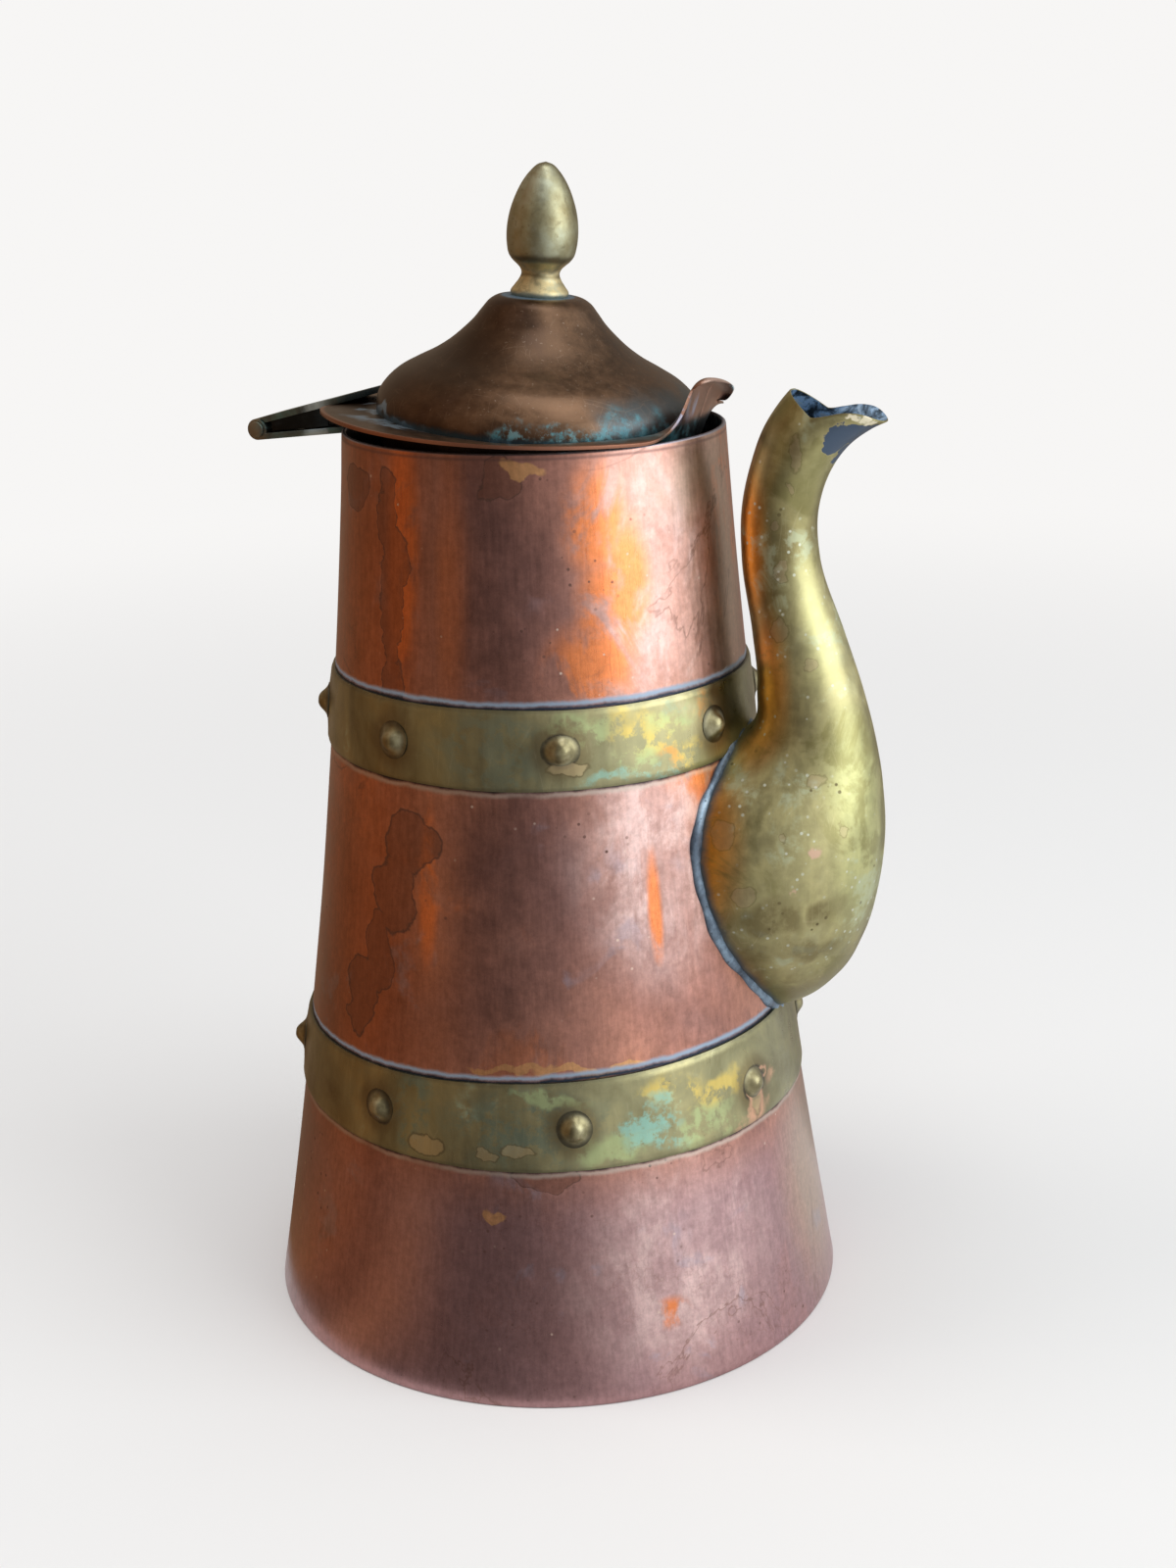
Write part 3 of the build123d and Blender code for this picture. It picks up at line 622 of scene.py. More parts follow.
def brim_edge(angle):
    """Radius and height of the brim's edge: a dish, a droop at the hinge and a skewed, pulled-up tongue.

    The tongue rises with smooth_step(s ^ TONGUE_HOLLOWNESS), s from 0 at its root to 1 at its side.
    """
    dish = ((1 + np.cos(np.radians(angle))) / 2) ** 2
    droop = np.exp(-(((180 - np.abs(angle)) / BRIM_DROOP_SPREAD) ** 2))
    share = (TONGUE_ROOT_ANGLE - tongue_angle(angle)) / (TONGUE_ROOT_ANGLE - TONGUE_SIDE_ANGLE)
    lift = smooth_step(np.maximum(share, 0.0) ** TONGUE_HOLLOWNESS)
    skew = np.clip(angle / TONGUE_SKEW_ANGLE, -TONGUE_SKEW_LIMIT, TONGUE_SKEW_LIMIT)
    lift = lift * (1 - TONGUE_SKEW * skew)
    brim = sizes().brim_radius / MM
    radius = brim - (brim - TONGUE_REACH) * smooth_step(share)
    height = BRIM_SET + BRIM_DISH * dish - BRIM_DROOP * droop + TONGUE_RISE * lift
    return np.stack([radius, height], axis=-1)


def brim_knee(angle, foot, edge):
    """Point that the brim bends through, kept clear of the pot's rim by a smooth maximum."""
    size = sizes()
    rim = size.rim_radius / MM * np.cos(np.radians(angle)) * math.sin(math.radians(LID_TILT))
    rim = rim + (BODY_HEIGHT - LID_HEIGHT) * math.cos(math.radians(LID_TILT))
    clear = rim + RIM_CLEARANCE + size.brim_thickness / MM
    straight = edge[..., 1] * BRIM_KNEE_SHARE
    height = (straight + clear + np.hypot(straight - clear, RIM_CLEARANCE)) / 2
    return np.stack([foot + (edge[..., 0] - foot) * BRIM_KNEE_SHARE, height], axis=-1)


def brim_skin():
    """Upper face of the brim: at each angle a parabola from foot through knee to edge, then a curl."""
    share = np.linspace(-1.0, 1.0, BRIM_COLUMNS + 1)[:-1]
    angle = 180.0 * np.sign(share) * np.abs(share) ** BRIM_CROWDING
    around_lid = angle[None, :]
    foot = DOME_PROFILE[-1, 0] + DOME_SHIFT * np.cos(np.radians(around_lid))
    start = np.stack([foot, 0 * foot], axis=-1)
    edge = brim_edge(around_lid)
    bend = 2 * brim_knee(around_lid, foot, edge) - (start + edge) / 2
    t = np.linspace(0.0, 1.0, BRIM_ROWS)[:, None, None]
    face = (1 - t) ** 2 * start + 2 * t * (1 - t) * bend + t * t * edge
    slope = np.arctan2(edge[..., 1] - bend[..., 1], edge[..., 0] - bend[..., 0])
    roundness = np.sqrt(np.clip(1 - (tongue_angle(around_lid) / CURL_SIDE_ANGLE) ** 2, 0.0, 1.0))
    turn = np.linspace(0.0, math.radians(CURL_TURN), CURL_ROWS)[1:, None]
    curl = np.stack([np.sin(slope) - np.sin(slope - turn), np.cos(slope - turn) - np.cos(slope)], axis=-1)
    inner = start - np.array([BRIM_TUCK, 0.0])
    roll = (CURL_RADIUS * roundness)[..., None]
    rows = np.concatenate([inner, face, edge + roll * curl])
    return on_lid(around(rows[..., 0], np.radians(angle)[None, :], rows[..., 1]))


def finial_skin():
    """Turned bud on its collar, with its stud below, about the lid's axis."""
    bud = smooth_profile(FINIAL_PROFILE, FINIAL_ROWS)
    bud[-1, 0] = 0.0
    lifted = np.concatenate([FINIAL_STUD, bud]) + np.array([0.0, DOME_PROFILE[0, 1]])
    return on_lid(spun(lifted, FINIAL_TURNS))


def hinge_cheeks():
    """Turned-down sides of the lid's strap: a four-sided plate between the straps' lines at each side.

    Each strap's line is height = pin + offset / cos(slope) + tan(slope) * (distance from the pin).
    """
    across = np.array((PIN_REACH - CHEEK_SETBACK, RIM_REACH))

    def strap_line(offset, slope):
        """Heights of a line offset from the pin's centre, over the plate's ends."""
        rise = math.radians(slope)
        return PIN_HEIGHT + offset / math.cos(rise) + math.tan(rise) * (PIN_REACH - across)

    high = strap_line(UPPER_STRAP_OFFSET, UPPER_STRAP_SLOPE)
    low = strap_line(LOWER_STRAP_OFFSET, LOWER_STRAP_SLOPE) + CHEEK_CLEARANCE
    x = -np.concatenate([across, across[::-1]])
    z = np.concatenate([low, high[::-1]])
    y = np.outer((-1, 1), CHEEK_FACES)[..., None]
    return np.stack(np.broadcast_arrays(x, y, z), axis=-1)


def softened_copy(node, name, rounding):
    """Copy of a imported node's mesh, merged and with its edges rounded."""
    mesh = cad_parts[node].data.copy()
    mesh.name = name
    work = bmesh.new()
    work.from_mesh(mesh)
    bmesh.ops.remove_doubles(work, verts=work.verts, dist=WELD)
    bmesh.ops.dissolve_limit(work, angle_limit=math.radians(1.0), verts=work.verts, edges=work.edges)
    work.to_mesh(mesh)
    work.free()
    mesh.materials.clear()
    piece = bpy.data.objects.new(name, mesh)
    bpy.context.scene.collection.objects.link(piece)
    round_edges(piece, rounding, angle=35.0)
    return settle(piece)


# --- metals ---


def turned_place(radius, azimuth, height, wide, high):
    """X, Y and Z of a place at an azimuth, with its half sizes, all in millimetres."""
    turn = math.radians(azimuth)
    return (radius * math.cos(turn), radius * math.sin(turn), height, wide, high)


def on_side(*places):
    """Places on the body's side, each given as azimuth, height, half width and half height."""
    return [turned_place(body_radius(height), azimuth, height, wide, high)
            for azimuth, height, wide, high in places]


def on_foot(*places):
    """Places round the dome in the lid's own frame: azimuth, half width, half height, height, inset."""
    return [turned_place(DOME_PROFILE[-1, 0] - inset, azimuth, height, wide, high)
            for azimuth, wide, high, height, inset in places]


class Nodes:
    """Nodes of a material or world, added and linked one by one."""

    def __init__(self, owner):
        owner.use_nodes = True
        self.tree = owner.node_tree

    def node(self, kind, **settings):
        """Adds a node."""
        made = self.tree.nodes.new(kind)
        for name, value in settings.items():
            setattr(made, name, value)
        return made

    def feed(self, socket, value):
        """Links an output to a socket, or sets a plain number or colour on it."""
        if isinstance(value, bpy.types.NodeSocket):
            self.tree.links.new(value, socket)
        elif socket.type == "RGBA":
            socket.default_value = (*tuple(value)[:3], 1.0)
        else:
            socket.default_value = value

    def fed(self, kind, *values, out=0, **settings):
        """Adds a node, feeds its first sockets and gives one of its outputs."""
        made = self.node(kind, **settings)
        for socket, value in zip(made.inputs, values):
            self.feed(socket, value)
        return made.outputs[out]

    def math(self, operation, *values):
        """One Math node."""
        return self.fed("ShaderNodeMath", *values, operation=operation)

    def step(self, value, low, high, start=0.0, end=1.0):
        """Smooth step of a value from start at low to end at high."""
        return self.fed("ShaderNodeMapRange", value, low, high, start, end, interpolation_type="SMOOTHSTEP")

    def ramp(self, value, *stops):
        """Colour ramp over (position, colour) stops."""
        made = self.node("ShaderNodeValToRGB")
        self.feed(made.inputs[0], value)
        elements = made.color_ramp.elements
        while len(elements) < len(stops):
            elements.new(0.5)
        for element, (position, tint) in zip(elements, stops):
            element.position = position
            element.color = (*tuple(tint)[:3], 1.0)
        return made.outputs[0]


class Finish(Nodes):
    """Shader nodes of one metal, from patterns on Object coordinates in metres."""

    def __init__(self, name, tint, rough, metal=1.0):
        self.material = bpy.data.materials.new(name)
        super().__init__(self.material)
        self.shader = self.tree.nodes["Principled BSDF"]
        self.shader.inputs["Coat Weight"].default_value = 0.2
        self.shader.inputs["Coat Roughness"].default_value = 0.30
        self.tint = tuple(tint)
        self.rough = rough
        self.metal = metal
        self.reliefs = []
        self.place = self.node("ShaderNodeTexCoord").outputs["Object"]

    def stretched(self, scale, location=(0.0, 0.0, 0.0), rotation=(0.0, 0.0, 0.0)):
        """Scaled, turned and moved coordinates."""
        made = self.node("ShaderNodeMapping")
        self.feed(made.inputs["Vector"], self.place)
        made.inputs["Scale"].default_value = scale
        made.inputs["Location"].default_value = location
        made.inputs["Rotation"].default_value = rotation
        return made.outputs[0]

    def noise(self, scale, detail=4.0, rough=0.55, warp=0.0):
        """Fractal noise around 0.5; a triple scale stretches it."""
        made = self.node("ShaderNodeTexNoise")
        where = self.place
        if isinstance(scale, tuple):
            where = self.stretched(scale)
            scale = 1.0
        self.feed(made.inputs["Vector"], where)
        made.inputs["Scale"].default_value = scale
        made.inputs["Detail"].default_value = detail
        made.inputs["Roughness"].default_value = rough
        made.inputs["Distortion"].default_value = warp
        return made.outputs[0]

    def cells(self, scale, feature="DISTANCE_TO_EDGE", where=None):
        """Distance in a Voronoi pattern."""
        made = self.node("ShaderNodeTexVoronoi", feature=feature)
        self.feed(made.inputs["Vector"], where or self.place)
        made.inputs["Scale"].default_value = scale
        return made.outputs["Distance"]

    def dots(self, scale, size, fade):
        """Round dots at a Voronoi pattern's points: 1 within size, 0 past fade."""
        return self.step(self.cells(scale, "F1"), size, fade, 1.0, 0.0)

    def nudged(self, value, noise, amount):
        """A value with (noise - 0.5) * amount added to it."""
        return self.math("ADD", value, self.math("MULTIPLY", self.math("SUBTRACT", noise, 0.5), amount))

    def hypot(self, first, second):
        """Square root of the sum of two squares."""
        squares = [self.math("MULTIPLY", value, value) for value in (first, second)]
        return self.math("SQRT", self.math("ADD", *squares))

    def band(self, value, middle, half):
        """1 at the middle, falling smoothly to 0 at half a width away."""
        return self.step(self.math("ABSOLUTE", self.math("SUBTRACT", value, middle)), 0.0, half, 1.0, 0.0)

    def both(self, *masks):
        """Product of masks."""
        result = masks[0]
        for mask in masks[1:]:
            result = self.math("MULTIPLY", result, mask)
        return result

    def coat(self, mask, tint, rough=None, metal=None, share=None):
        """Lays a tint, and a roughness and metal share if given, over what is there.

        The mask says where, and a share says how much of it.
        """
        if share is not None:
            mask = self.math("MULTIPLY", mask, share)
        made = self.node("ShaderNodeMix", data_type="RGBA")
        self.feed(made.inputs[0], mask)
        self.feed(made.inputs[6], self.tint)
        self.feed(made.inputs[7], tint)
        self.tint = made.outputs[2]
        if rough is not None:
            self.rough = self.between(mask, self.rough, rough)
        if metal is not None:
            self.metal = self.between(mask, self.metal, metal)

    def between(self, share, low, high):
        """Plain mix of two numbers."""
        made = self.node("ShaderNodeMix", data_type="FLOAT")
        for socket, number in zip(made.inputs[:1] + made.inputs[2:4], (share, low, high)):
            self.feed(socket, number)
        return made.outputs[0]

    def shade(self, factor):
        """Multiplies the tint by a grey factor."""
        made = self.node("ShaderNodeVectorMath", operation="SCALE")
        self.feed(made.inputs[0], self.tint)
        self.feed(made.inputs["Scale"], factor)
        self.tint = made.outputs[0]

    def wandering(self, amount, scale):
        """Coordinates pushed about by (2 noise - 1) * amount, so that stains have ragged edges."""
        noise = self.node("ShaderNodeTexNoise")
        self.feed(noise.inputs["Vector"], self.place)
        noise.inputs["Scale"].default_value = scale
        noise.inputs["Detail"].default_value = 4.0
        start = self.stretched((1.0,) * 3, (-amount,) * 3)
        return self.fed("ShaderNodeVectorMath", noise.outputs["Color"], (amount * 2,) * 3, start,
                        operation="MULTIPLY_ADD")

    def reach(self, places, where=None):
        """Least distance to placed ellipsoids, in their own half sizes: below 1 is inside one."""
        result = None
        for x, y, z, wide, high in places:
            scale = (1 / (wide * MM), 1 / (wide * MM), 1 / (high * MM))
            shift = tuple(-a * MM * b for a, b in zip((x, y, z), scale))
            inside = self.fed("ShaderNodeVectorMath", where or self.place, scale, shift,
                              operation="MULTIPLY_ADD")
            away = self.fed("ShaderNodeVectorMath", inside, operation="LENGTH", out="Value")
            result = away if result is None else self.math("MINIMUM", result, away)
        return result

    def relief(self, height, depth):
        """Adds a height pattern of a depth in millimetres."""
        self.reliefs.append(self.math("MULTIPLY", height, depth))

    def axes(self):
        """X, Y and Z of the coordinates in use."""
        made = self.node("ShaderNodeSeparateXYZ")
        self.feed(made.inputs[0], self.place)
        return made.outputs

    def done(self):
        """Links tint, roughness, metal share and relief to the shader."""
        self.feed(self.shader.inputs["Base Color"], self.tint)
        self.feed(self.shader.inputs["Roughness"], self.rough)
        self.feed(self.shader.inputs["Metallic"], self.metal)
        if self.reliefs:
            total = self.reliefs[0]
            for height in self.reliefs[1:]:
                total = self.math("ADD", total, height)
            bump = self.node("ShaderNodeBump")
            bump.inputs["Distance"].default_value = MM
            self.feed(bump.inputs["Height"], total)
            self.feed(self.shader.inputs["Normal"], bump.outputs[0])
        return self.material


def side_distance(finish):
    """How far a point stands out from the body's smooth side, in metres: hypot(x, y) less the cone."""
    size = sizes()
    x, y, z = finish.axes()
    share = finish.math("DIVIDE", z, BODY_HEIGHT * MM)
    straight = finish.math("MULTIPLY_ADD", share, size.rim_radius - size.base_radius, size.base_radius)
    bow = finish.math("MULTIPLY", share, finish.math("SUBTRACT", 1.0, share))
    cone = finish.math("MULTIPLY_ADD", bow, -4 * size.body_bow, straight)
    return finish.math("SUBTRACT", finish.hypot(x, y), cone)


def brushing(finish, share, depth, scale):
    """Fine rubbed lines, long where the scale is small, that wander in shade, gloss and height."""
    lines = finish.noise(scale, detail=3.0, rough=0.6)
    finish.shade(finish.step(lines, 0.25, 0.75, 1 - share, 1 + share))
    finish.rough = finish.nudged(finish.rough, lines, 0.16)
    finish.relief(lines, depth)


def scratches(finish, tint, amount, scale):
    """Sparse fine scratches: thin edges of stretched, turned cells where a second noise allows."""
    for turn, push in ((0.5, 0.0), (-0.9, 3.0), (1.4, 7.0)):
        where = finish.stretched((scale, scale, scale * 0.10), (push,) * 3, (turn, turn * 0.7, 0.0))
        line = finish.step(finish.cells(1.0, where=where), 0.0, 0.022, 1.0, 0.0)
        allowed = finish.step(finish.noise(60.0 + 20 * push), 0.52, 0.64)
        finish.coat(finish.both(line, allowed), tint, share=amount)


def body_copper():
    """Rubbed copper with purple-brown and orange areas, drips with dark outlines, blue-grey hoop edges and
    painted reflections and highlights.
    """
    tone = colours()
    finish = Finish("body_copper", tone.copper, 0.33)
    broad = finish.noise((24.0, 24.0, 16.0), detail=7.0, rough=0.58, warp=0.5)
    fine = finish.noise(150.0, detail=8.0, rough=0.68)
    flame = finish.noise((72.0, 72.0, 36.0), detail=7.0, rough=0.62, warp=0.7)
    finish.tint = finish.ramp(broad, (0.32, tone.copper_dull), (0.46, (0.37, 0.175, 0.135)),
                              (0.58, tone.copper), (0.72, (0.56, 0.30, 0.235)))
    finish.shade(finish.step(fine, 0.25, 0.75, 0.82, 1.18))
    finish.rough = finish.step(fine, 0.3, 0.7, 0.28, 0.40)
    _, _, z = finish.axes()
    foot = finish.step(z, 0.050, 0.034)
    finish.coat(finish.both(foot, finish.step(broad, 0.30, 0.60, 0.60, 0.95)), (0.40, 0.245, 0.26))
    # painted reflection: purple-brown copper laid where the side faces the camera, standing in for the dim
    # front of the room mirrored in it
    dim_front_places = finish.reach(on_side((-74, 160, 13, 26), (-70, 96, 18, 28), (-70, 26, 24, 26)))
    finish.coat(finish.step(dim_front_places, 1.6, 0.0), tone.copper_dull, share=0.60)
    # painted reflection: orange-red over the left side, with a narrow streak at -92 degrees, where the copper
    # mirrors a warm brown room
    warm = finish.reach(on_side((-128, 150, 17, 50), (-92, 156, 3.2, 28), (-120, 90, 19, 50),
                                (-118, 22, 20, 26), (140, 110, 24, 60)))
    painted_warm_reflection = finish.both(finish.step(warm, 1.5, 0.2), finish.step(z, 0.030, 0.070, 0.30, 0.58))
    finish.coat(painted_warm_reflection, (0.56, 0.19, 0.075))
    khaki = finish.reach(on_side((-4, 158, 9, 30), (-12, 172, 12, 8), (4, 26, 14, 22)))
    finish.coat(finish.step(khaki, 1.5, 0.3), (0.52, 0.40, 0.30), 0.38, share=0.75)
    # painted highlight: light, rough pink-white patches where the window's reflection falls right of the
    # front and on the foot
    pink_highlight_places = finish.reach(on_side((-32, 157, 15, 26), (-40, 106, 15, 22), (-42, 24, 20, 20), (-22, 140, 8, 16),
                                (70, 110, 20, 40)))
    painted_pink_highlight = finish.both(finish.step(pink_highlight_places, 1.5, 0.3), finish.step(flame, 0.42, 0.56, 0.45, 1.0))
    painted_pink_highlight = finish.both(painted_pink_highlight, finish.step(z, 0.030, 0.070, 0.70, 0.85),
                       finish.step(fine, 0.38, 0.58, 0.55, 1.0))
    finish.coat(painted_pink_highlight, (0.74, 0.55, 0.52), 0.42)
    # partly painted highlight: bright orange copper in streaks beside the pink-white highlight and in narrow
    # reflection streaks on the left; the places on the back are plain bright copper
    bright_and_highlight_places = finish.reach(on_side((-50, 149, 6, 15), (-56, 140, 8, 10), (-44, 157, 5, 12), (-24, 122, 9, 8),
                               (-42, 95, 1.5, 22), (-108, 160, 4, 30), (-52, 168, 6, 10), (-98, 100, 2.2, 24),
                               (-46, 16, 4, 3), (50, 160, 14, 18), (110, 70, 14, 20), (190, 150, 12, 16)))
    glow = finish.both(finish.step(bright_and_highlight_places, 1.35, 0.5), finish.step(flame, 0.57, 0.45))
    finish.coat(glow, tone.copper_bright, 0.28)
    ember = finish.both(finish.step(broad, 0.55, 0.63), finish.step(flame, 0.54, 0.44),
                        finish.step(pink_highlight_places, 0.5, 1.6), finish.step(z, 0.040, 0.078, 0.12, 1.0))
    finish.coat(ember, tone.copper_bright, 0.30, share=0.5)
    blue = finish.both(finish.step(finish.noise(75.0, detail=5.0, warp=0.4), 0.58, 0.66),
                       finish.step(finish.noise(26.0), 0.50, 0.60))
    finish.coat(blue, (0.36, 0.36, 0.46), 0.36, share=0.35)
    wet = finish.wandering(0.0042, 140.0)
    drips = finish.reach(on_side((-114, 170, 3, 7), (-112, 158, 3.4, 9), (-112, 146, 2.2, 9),
                                 (-111, 138, 3.4, 5), (-104, 108, 6, 6), (-108, 98, 5, 9),
                                 (-113, 86, 3.6, 10), (-118, 75, 4.5, 8), (-130, 172, 5, 4),
                                 (-77, 176, 4.6, 4.0), (-70, 45.2, 6.0, 2.0), (60, 150, 6, 16),
                                 (100, 96, 9, 18), (160, 150, 5, 18), (30, 28, 9, 7)), wet)
    finish.coat(finish.step(drips, 1.04, 0.96), (0.20, 0.085, 0.055), 0.44, share=0.55)
    finish.coat(finish.band(drips, 1.0, 0.075), (0.13, 0.075, 0.06), 0.5, share=0.75)
    stain = finish.reach(on_side((-82, 38.5, 2.4, 1.4), (-60, 65.8, 12, 0.9), (-78, 66.6, 9, 0.8),
                                 (-72, 178.2, 4, 1.6), (-40, 62, 4, 2.4)), wet)
    finish.coat(finish.step(stain, 1.1, 0.8), (0.66, 0.36, 0.16), 0.45, share=0.85)
    tide = finish.band(finish.noise(20.0, detail=6.0, warp=0.8), 0.5, 0.006)
    allowed = finish.step(finish.noise(16.0, detail=2.0), 0.48, 0.60)
    finish.coat(finish.both(tide, allowed), (0.20, 0.105, 0.08), share=0.55)
    crackle = finish.step(finish.cells(300.0, where=finish.wandering(0.003, 300.0)), 0.0, 0.05, 1.0, 0.0)
    finish.coat(finish.both(crackle, finish.step(finish.noise(24.0), 0.55, 0.66)), (0.24, 0.115, 0.09),
                share=0.25)
    grit = finish.noise(700.0, detail=6.0, rough=0.75)
    finish.shade(finish.step(grit, 0.30, 0.70, 0.88, 1.12))
    brushing(finish, 0.09, 0.014, (1300.0, 1300.0, 24.0))
    flecks = finish.dots(260.0, 0.05, 0.09)
    finish.coat(finish.both(flecks, finish.step(finish.noise(38.0), 0.48, 0.60)), (0.66, 0.50, 0.42), 0.5)
    specks = finish.dots(420.0, 0.10, 0.16)
    finish.coat(finish.both(specks, finish.step(finish.noise(45.0), 0.55, 0.7)), (0.15, 0.08, 0.065), 0.6)
    x, _, z = finish.axes()
    height = finish.nudged(z, fine, 0.0016)
    lean = math.tan(math.radians(LOWER_HOOP_TAPER))
    tipped = finish.math("SUBTRACT", height, finish.math("MULTIPLY", x, lean))
    for line, at in ((height, UPPER_HOOP[1]), (tipped, LOWER_HOOP[1])):
        finish.coat(finish.band(line, (at + 1.0) * MM, 0.0009), (0.27, 0.38, 0.50), 0.5, 0.6, share=0.9)
        finish.coat(finish.band(line, (at + 0.1) * MM, 0.0009), (0.025, 0.04, 0.065), 0.55)
    for bottom in (UPPER_HOOP[0], LOWER_HOOP[0]):
        crust = finish.both(finish.band(height, (bottom - 0.9) * MM, 0.0009), finish.step(broad, 0.36, 0.52))
        finish.coat(crust, (0.55, 0.50, 0.44), 0.6, share=0.6)
        finish.coat(finish.band(height, (bottom - 0.1) * MM, 0.0008), (0.05, 0.04, 0.04), 0.6)
    finish.coat(finish.band(z, (BODY_HEIGHT - 1.1) * MM, 0.0005), (0.16, 0.09, 0.08), 0.5, share=0.6)
    finish.coat(finish.step(z, (BODY_HEIGHT - 0.5) * MM, (BODY_HEIGHT - 0.1) * MM), (0.36, 0.38, 0.46), 0.4)
    finish.relief(finish.noise(70.0, detail=2.0), 0.10)
    return finish.done()


def tinned_inside(name, tint, contrast):
    """Dull tinned inner face, mottled dark and light blue-grey."""
    finish = Finish(name, tint, 0.5, 0.7)
    blot = finish.noise(330.0, detail=7.0, rough=0.68, warp=0.5)
    deep = tuple((1 - 0.88 * contrast) * value for value in tint)
    pale = tuple((1 + 1.7 * contrast) * value for value in tint)
    bloom = tuple((1 - contrast) * value + contrast * white for value, white in zip(tint, (0.58, 0.70, 0.78)))
    finish.tint = finish.ramp(blot, (0.40, deep), (0.49, tint), (0.56, pale), (0.66, bloom))
    finish.rough = finish.step(blot, 0.3, 0.7, 0.62, 0.38)
    finish.relief(finish.noise(240.0, detail=4.0), 0.05)
    return finish.done()


YELLOW = (0.66, 0.50, 0.13)
GREEN = (0.42, 0.50, 0.24)
RUST = (0.62, 0.31, 0.09)
TURQUOISE = (0.26, 0.50, 0.42)
ROSE = (0.66, 0.38, 0.24)
# each patch on a hoop: its places, as on_side takes them, its tint and how much of it
UPPER_PATCHES = (
    # painted reflection: dark green-grey where the hoop faces the camera and mirrors the dim front
    (((-80, 127, 13, 9),), (0.16, 0.21, 0.16), 0.5),
    (((-41, 129, 9, 5), (-30, 124, 5, 3), (70, 128, 12, 5), (200, 126, 10, 5)), YELLOW, 0.8),
    (((-46, 125, 5, 4), (-34, 131, 6, 3), (-60, 131, 7, 3), (110, 126, 10, 4)), GREEN, 0.75),
    (((-22, 131, 4, 3), (-36, 124, 3, 3), (-16, 126, 3, 5)), RUST, 0.75),
    (((-52, 121.2, 6, 1.1), (-38, 121.2, 6, 1.1)), TURQUOISE, 0.6),
)
LOWER_PATCHES = (
    # painted reflection: dark green-grey where the hoop faces the camera and mirrors the dim front
    (((-74, 56, 17, 9), (-100, 56, 6, 9)), (0.12, 0.185, 0.15), 0.62),
    (((-40, 60, 9, 4), (-28, 57, 7, 4), (40, 56, 14, 6), (170, 54, 12, 6)), YELLOW, 0.8),
    (((-56, 50, 9, 3), (-35, 52, 8, 5), (-70, 61, 8, 2), (120, 56, 12, 6)), GREEN, 0.75),
    (((-48, 54, 6, 4), (-43, 58, 4, 2.5), (-46, 50, 6, 2.5)), TURQUOISE, 0.8),
    (((-19, 49, 4, 3), (-12, 54, 3, 3), (-26, 48.5, 3, 1.5)), ROSE, 0.7),
)


def hoop_brass(name, edges, taper, patches):
    """Tarnished brass strip: dark edges, a brown halo round each rivet and yellow-green patches.

    The halo is a smooth step of hypot(radius * turn from the nearest rivet, height - middle).
    """
    tone = colours()
    bottom, top = edges
    middle = (bottom + top) / 2
    finish = Finish(name, tone.hoop_brass, 0.34)
    cloud = finish.noise((60.0, 60.0, 46.0), detail=6.0, rough=0.6, warp=0.5)
    fine = finish.noise(260.0, detail=5.0, rough=0.65)
    finish.tint = finish.ramp(cloud, (0.30, (0.19, 0.165, 0.08)), (0.46, tone.hoop_brass),
                              (0.60, (0.38, 0.345, 0.18)), (0.72, (0.50, 0.46, 0.27)))
    finish.rough = finish.step(fine, 0.3, 0.7, 0.27, 0.42)
    ragged = finish.wandering(0.0065, 120.0)
    grain = finish.step(finish.noise(190.0, detail=7.0, rough=0.7), 0.44, 0.55)
    for places, tint, share in patches:
        mask = finish.step(finish.reach(on_side(*places), ragged), 1.2, 0.5)
        finish.coat(finish.both(mask, grain), tint, 0.40, 0.85, share)
    verdigris = finish.both(finish.step(cloud, 0.58, 0.66), finish.step(fine, 0.50, 0.60))
    finish.coat(verdigris, (0.30, 0.48, 0.36), 0.5, 0.7, share=0.35)
    x, y, z = finish.axes()
    pitch = 2 * math.pi / RIVET_COUNT
    turn = finish.math("SUBTRACT", finish.math("ARCTAN2", y, x), math.radians(RIVET_FIRST_ANGLE))
    gap = finish.math("WRAP", turn, pitch / 2, -pitch / 2)
    across = finish.math("MULTIPLY", gap, body_radius(middle) * MM)
    lift = finish.math("SUBTRACT", z, middle * MM)
    away = finish.nudged(finish.hypot(across, lift), cloud, 0.004)
    finish.coat(finish.step(away, 0.0070, 0.0036), (0.16, 0.12, 0.055), 0.42, share=0.7)
    finish.coat(finish.step(away, 0.0036, 0.0029), (0.06, 0.05, 0.035), 0.5)
    wet = finish.wandering(0.002, 260.0)
    ringed = finish.reach(on_side((-76, 51, 3.6, 1.3), (-83, 50, 2.2, 1.2), (-19, 52, 2.4, 4.0),
                                  (-97, 50, 4.0, 2.0), (-62, 124, 4, 1.5), (40, 55, 5, 2), (140, 126, 5, 2)),
                          wet)
    finish.coat(finish.step(ringed, 1.0, 0.9), (0.60, 0.47, 0.26), 0.42, share=0.45)
    finish.coat(finish.band(ringed, 1.0, 0.16), (0.15, 0.12, 0.06), 0.5, share=0.7)
    ring = finish.reach(on_side((-19, 50.5, 2.3, 3.4), (-15, 56, 1.6, 1.4)), wet)
    finish.coat(finish.band(ring, 1.0, 0.40), (0.66, 0.38, 0.25), 0.45, share=0.8)
    brushing(finish, 0.07, 0.010, (500.0, 500.0, 18.0))
    scratches(finish, (0.56, 0.51, 0.32), 0.14, 260.0)
    height = finish.nudged(z, fine, 0.0012)
    tipped = finish.math("SUBTRACT", height, finish.math("MULTIPLY", x, math.tan(math.radians(taper))))
    dirt = finish.step(tipped, (top - 0.9) * MM, (top - 0.1) * MM)
    finish.coat(dirt, (0.07, 0.075, 0.06), 0.4, share=0.35)
    dirt = finish.step(height, (bottom + 0.8) * MM, (bottom + 0.1) * MM)
    finish.coat(dirt, (0.09, 0.085, 0.05), 0.4, share=0.4)
    finish.relief(finish.noise(110.0, detail=2.0), 0.10)
    return finish.done()


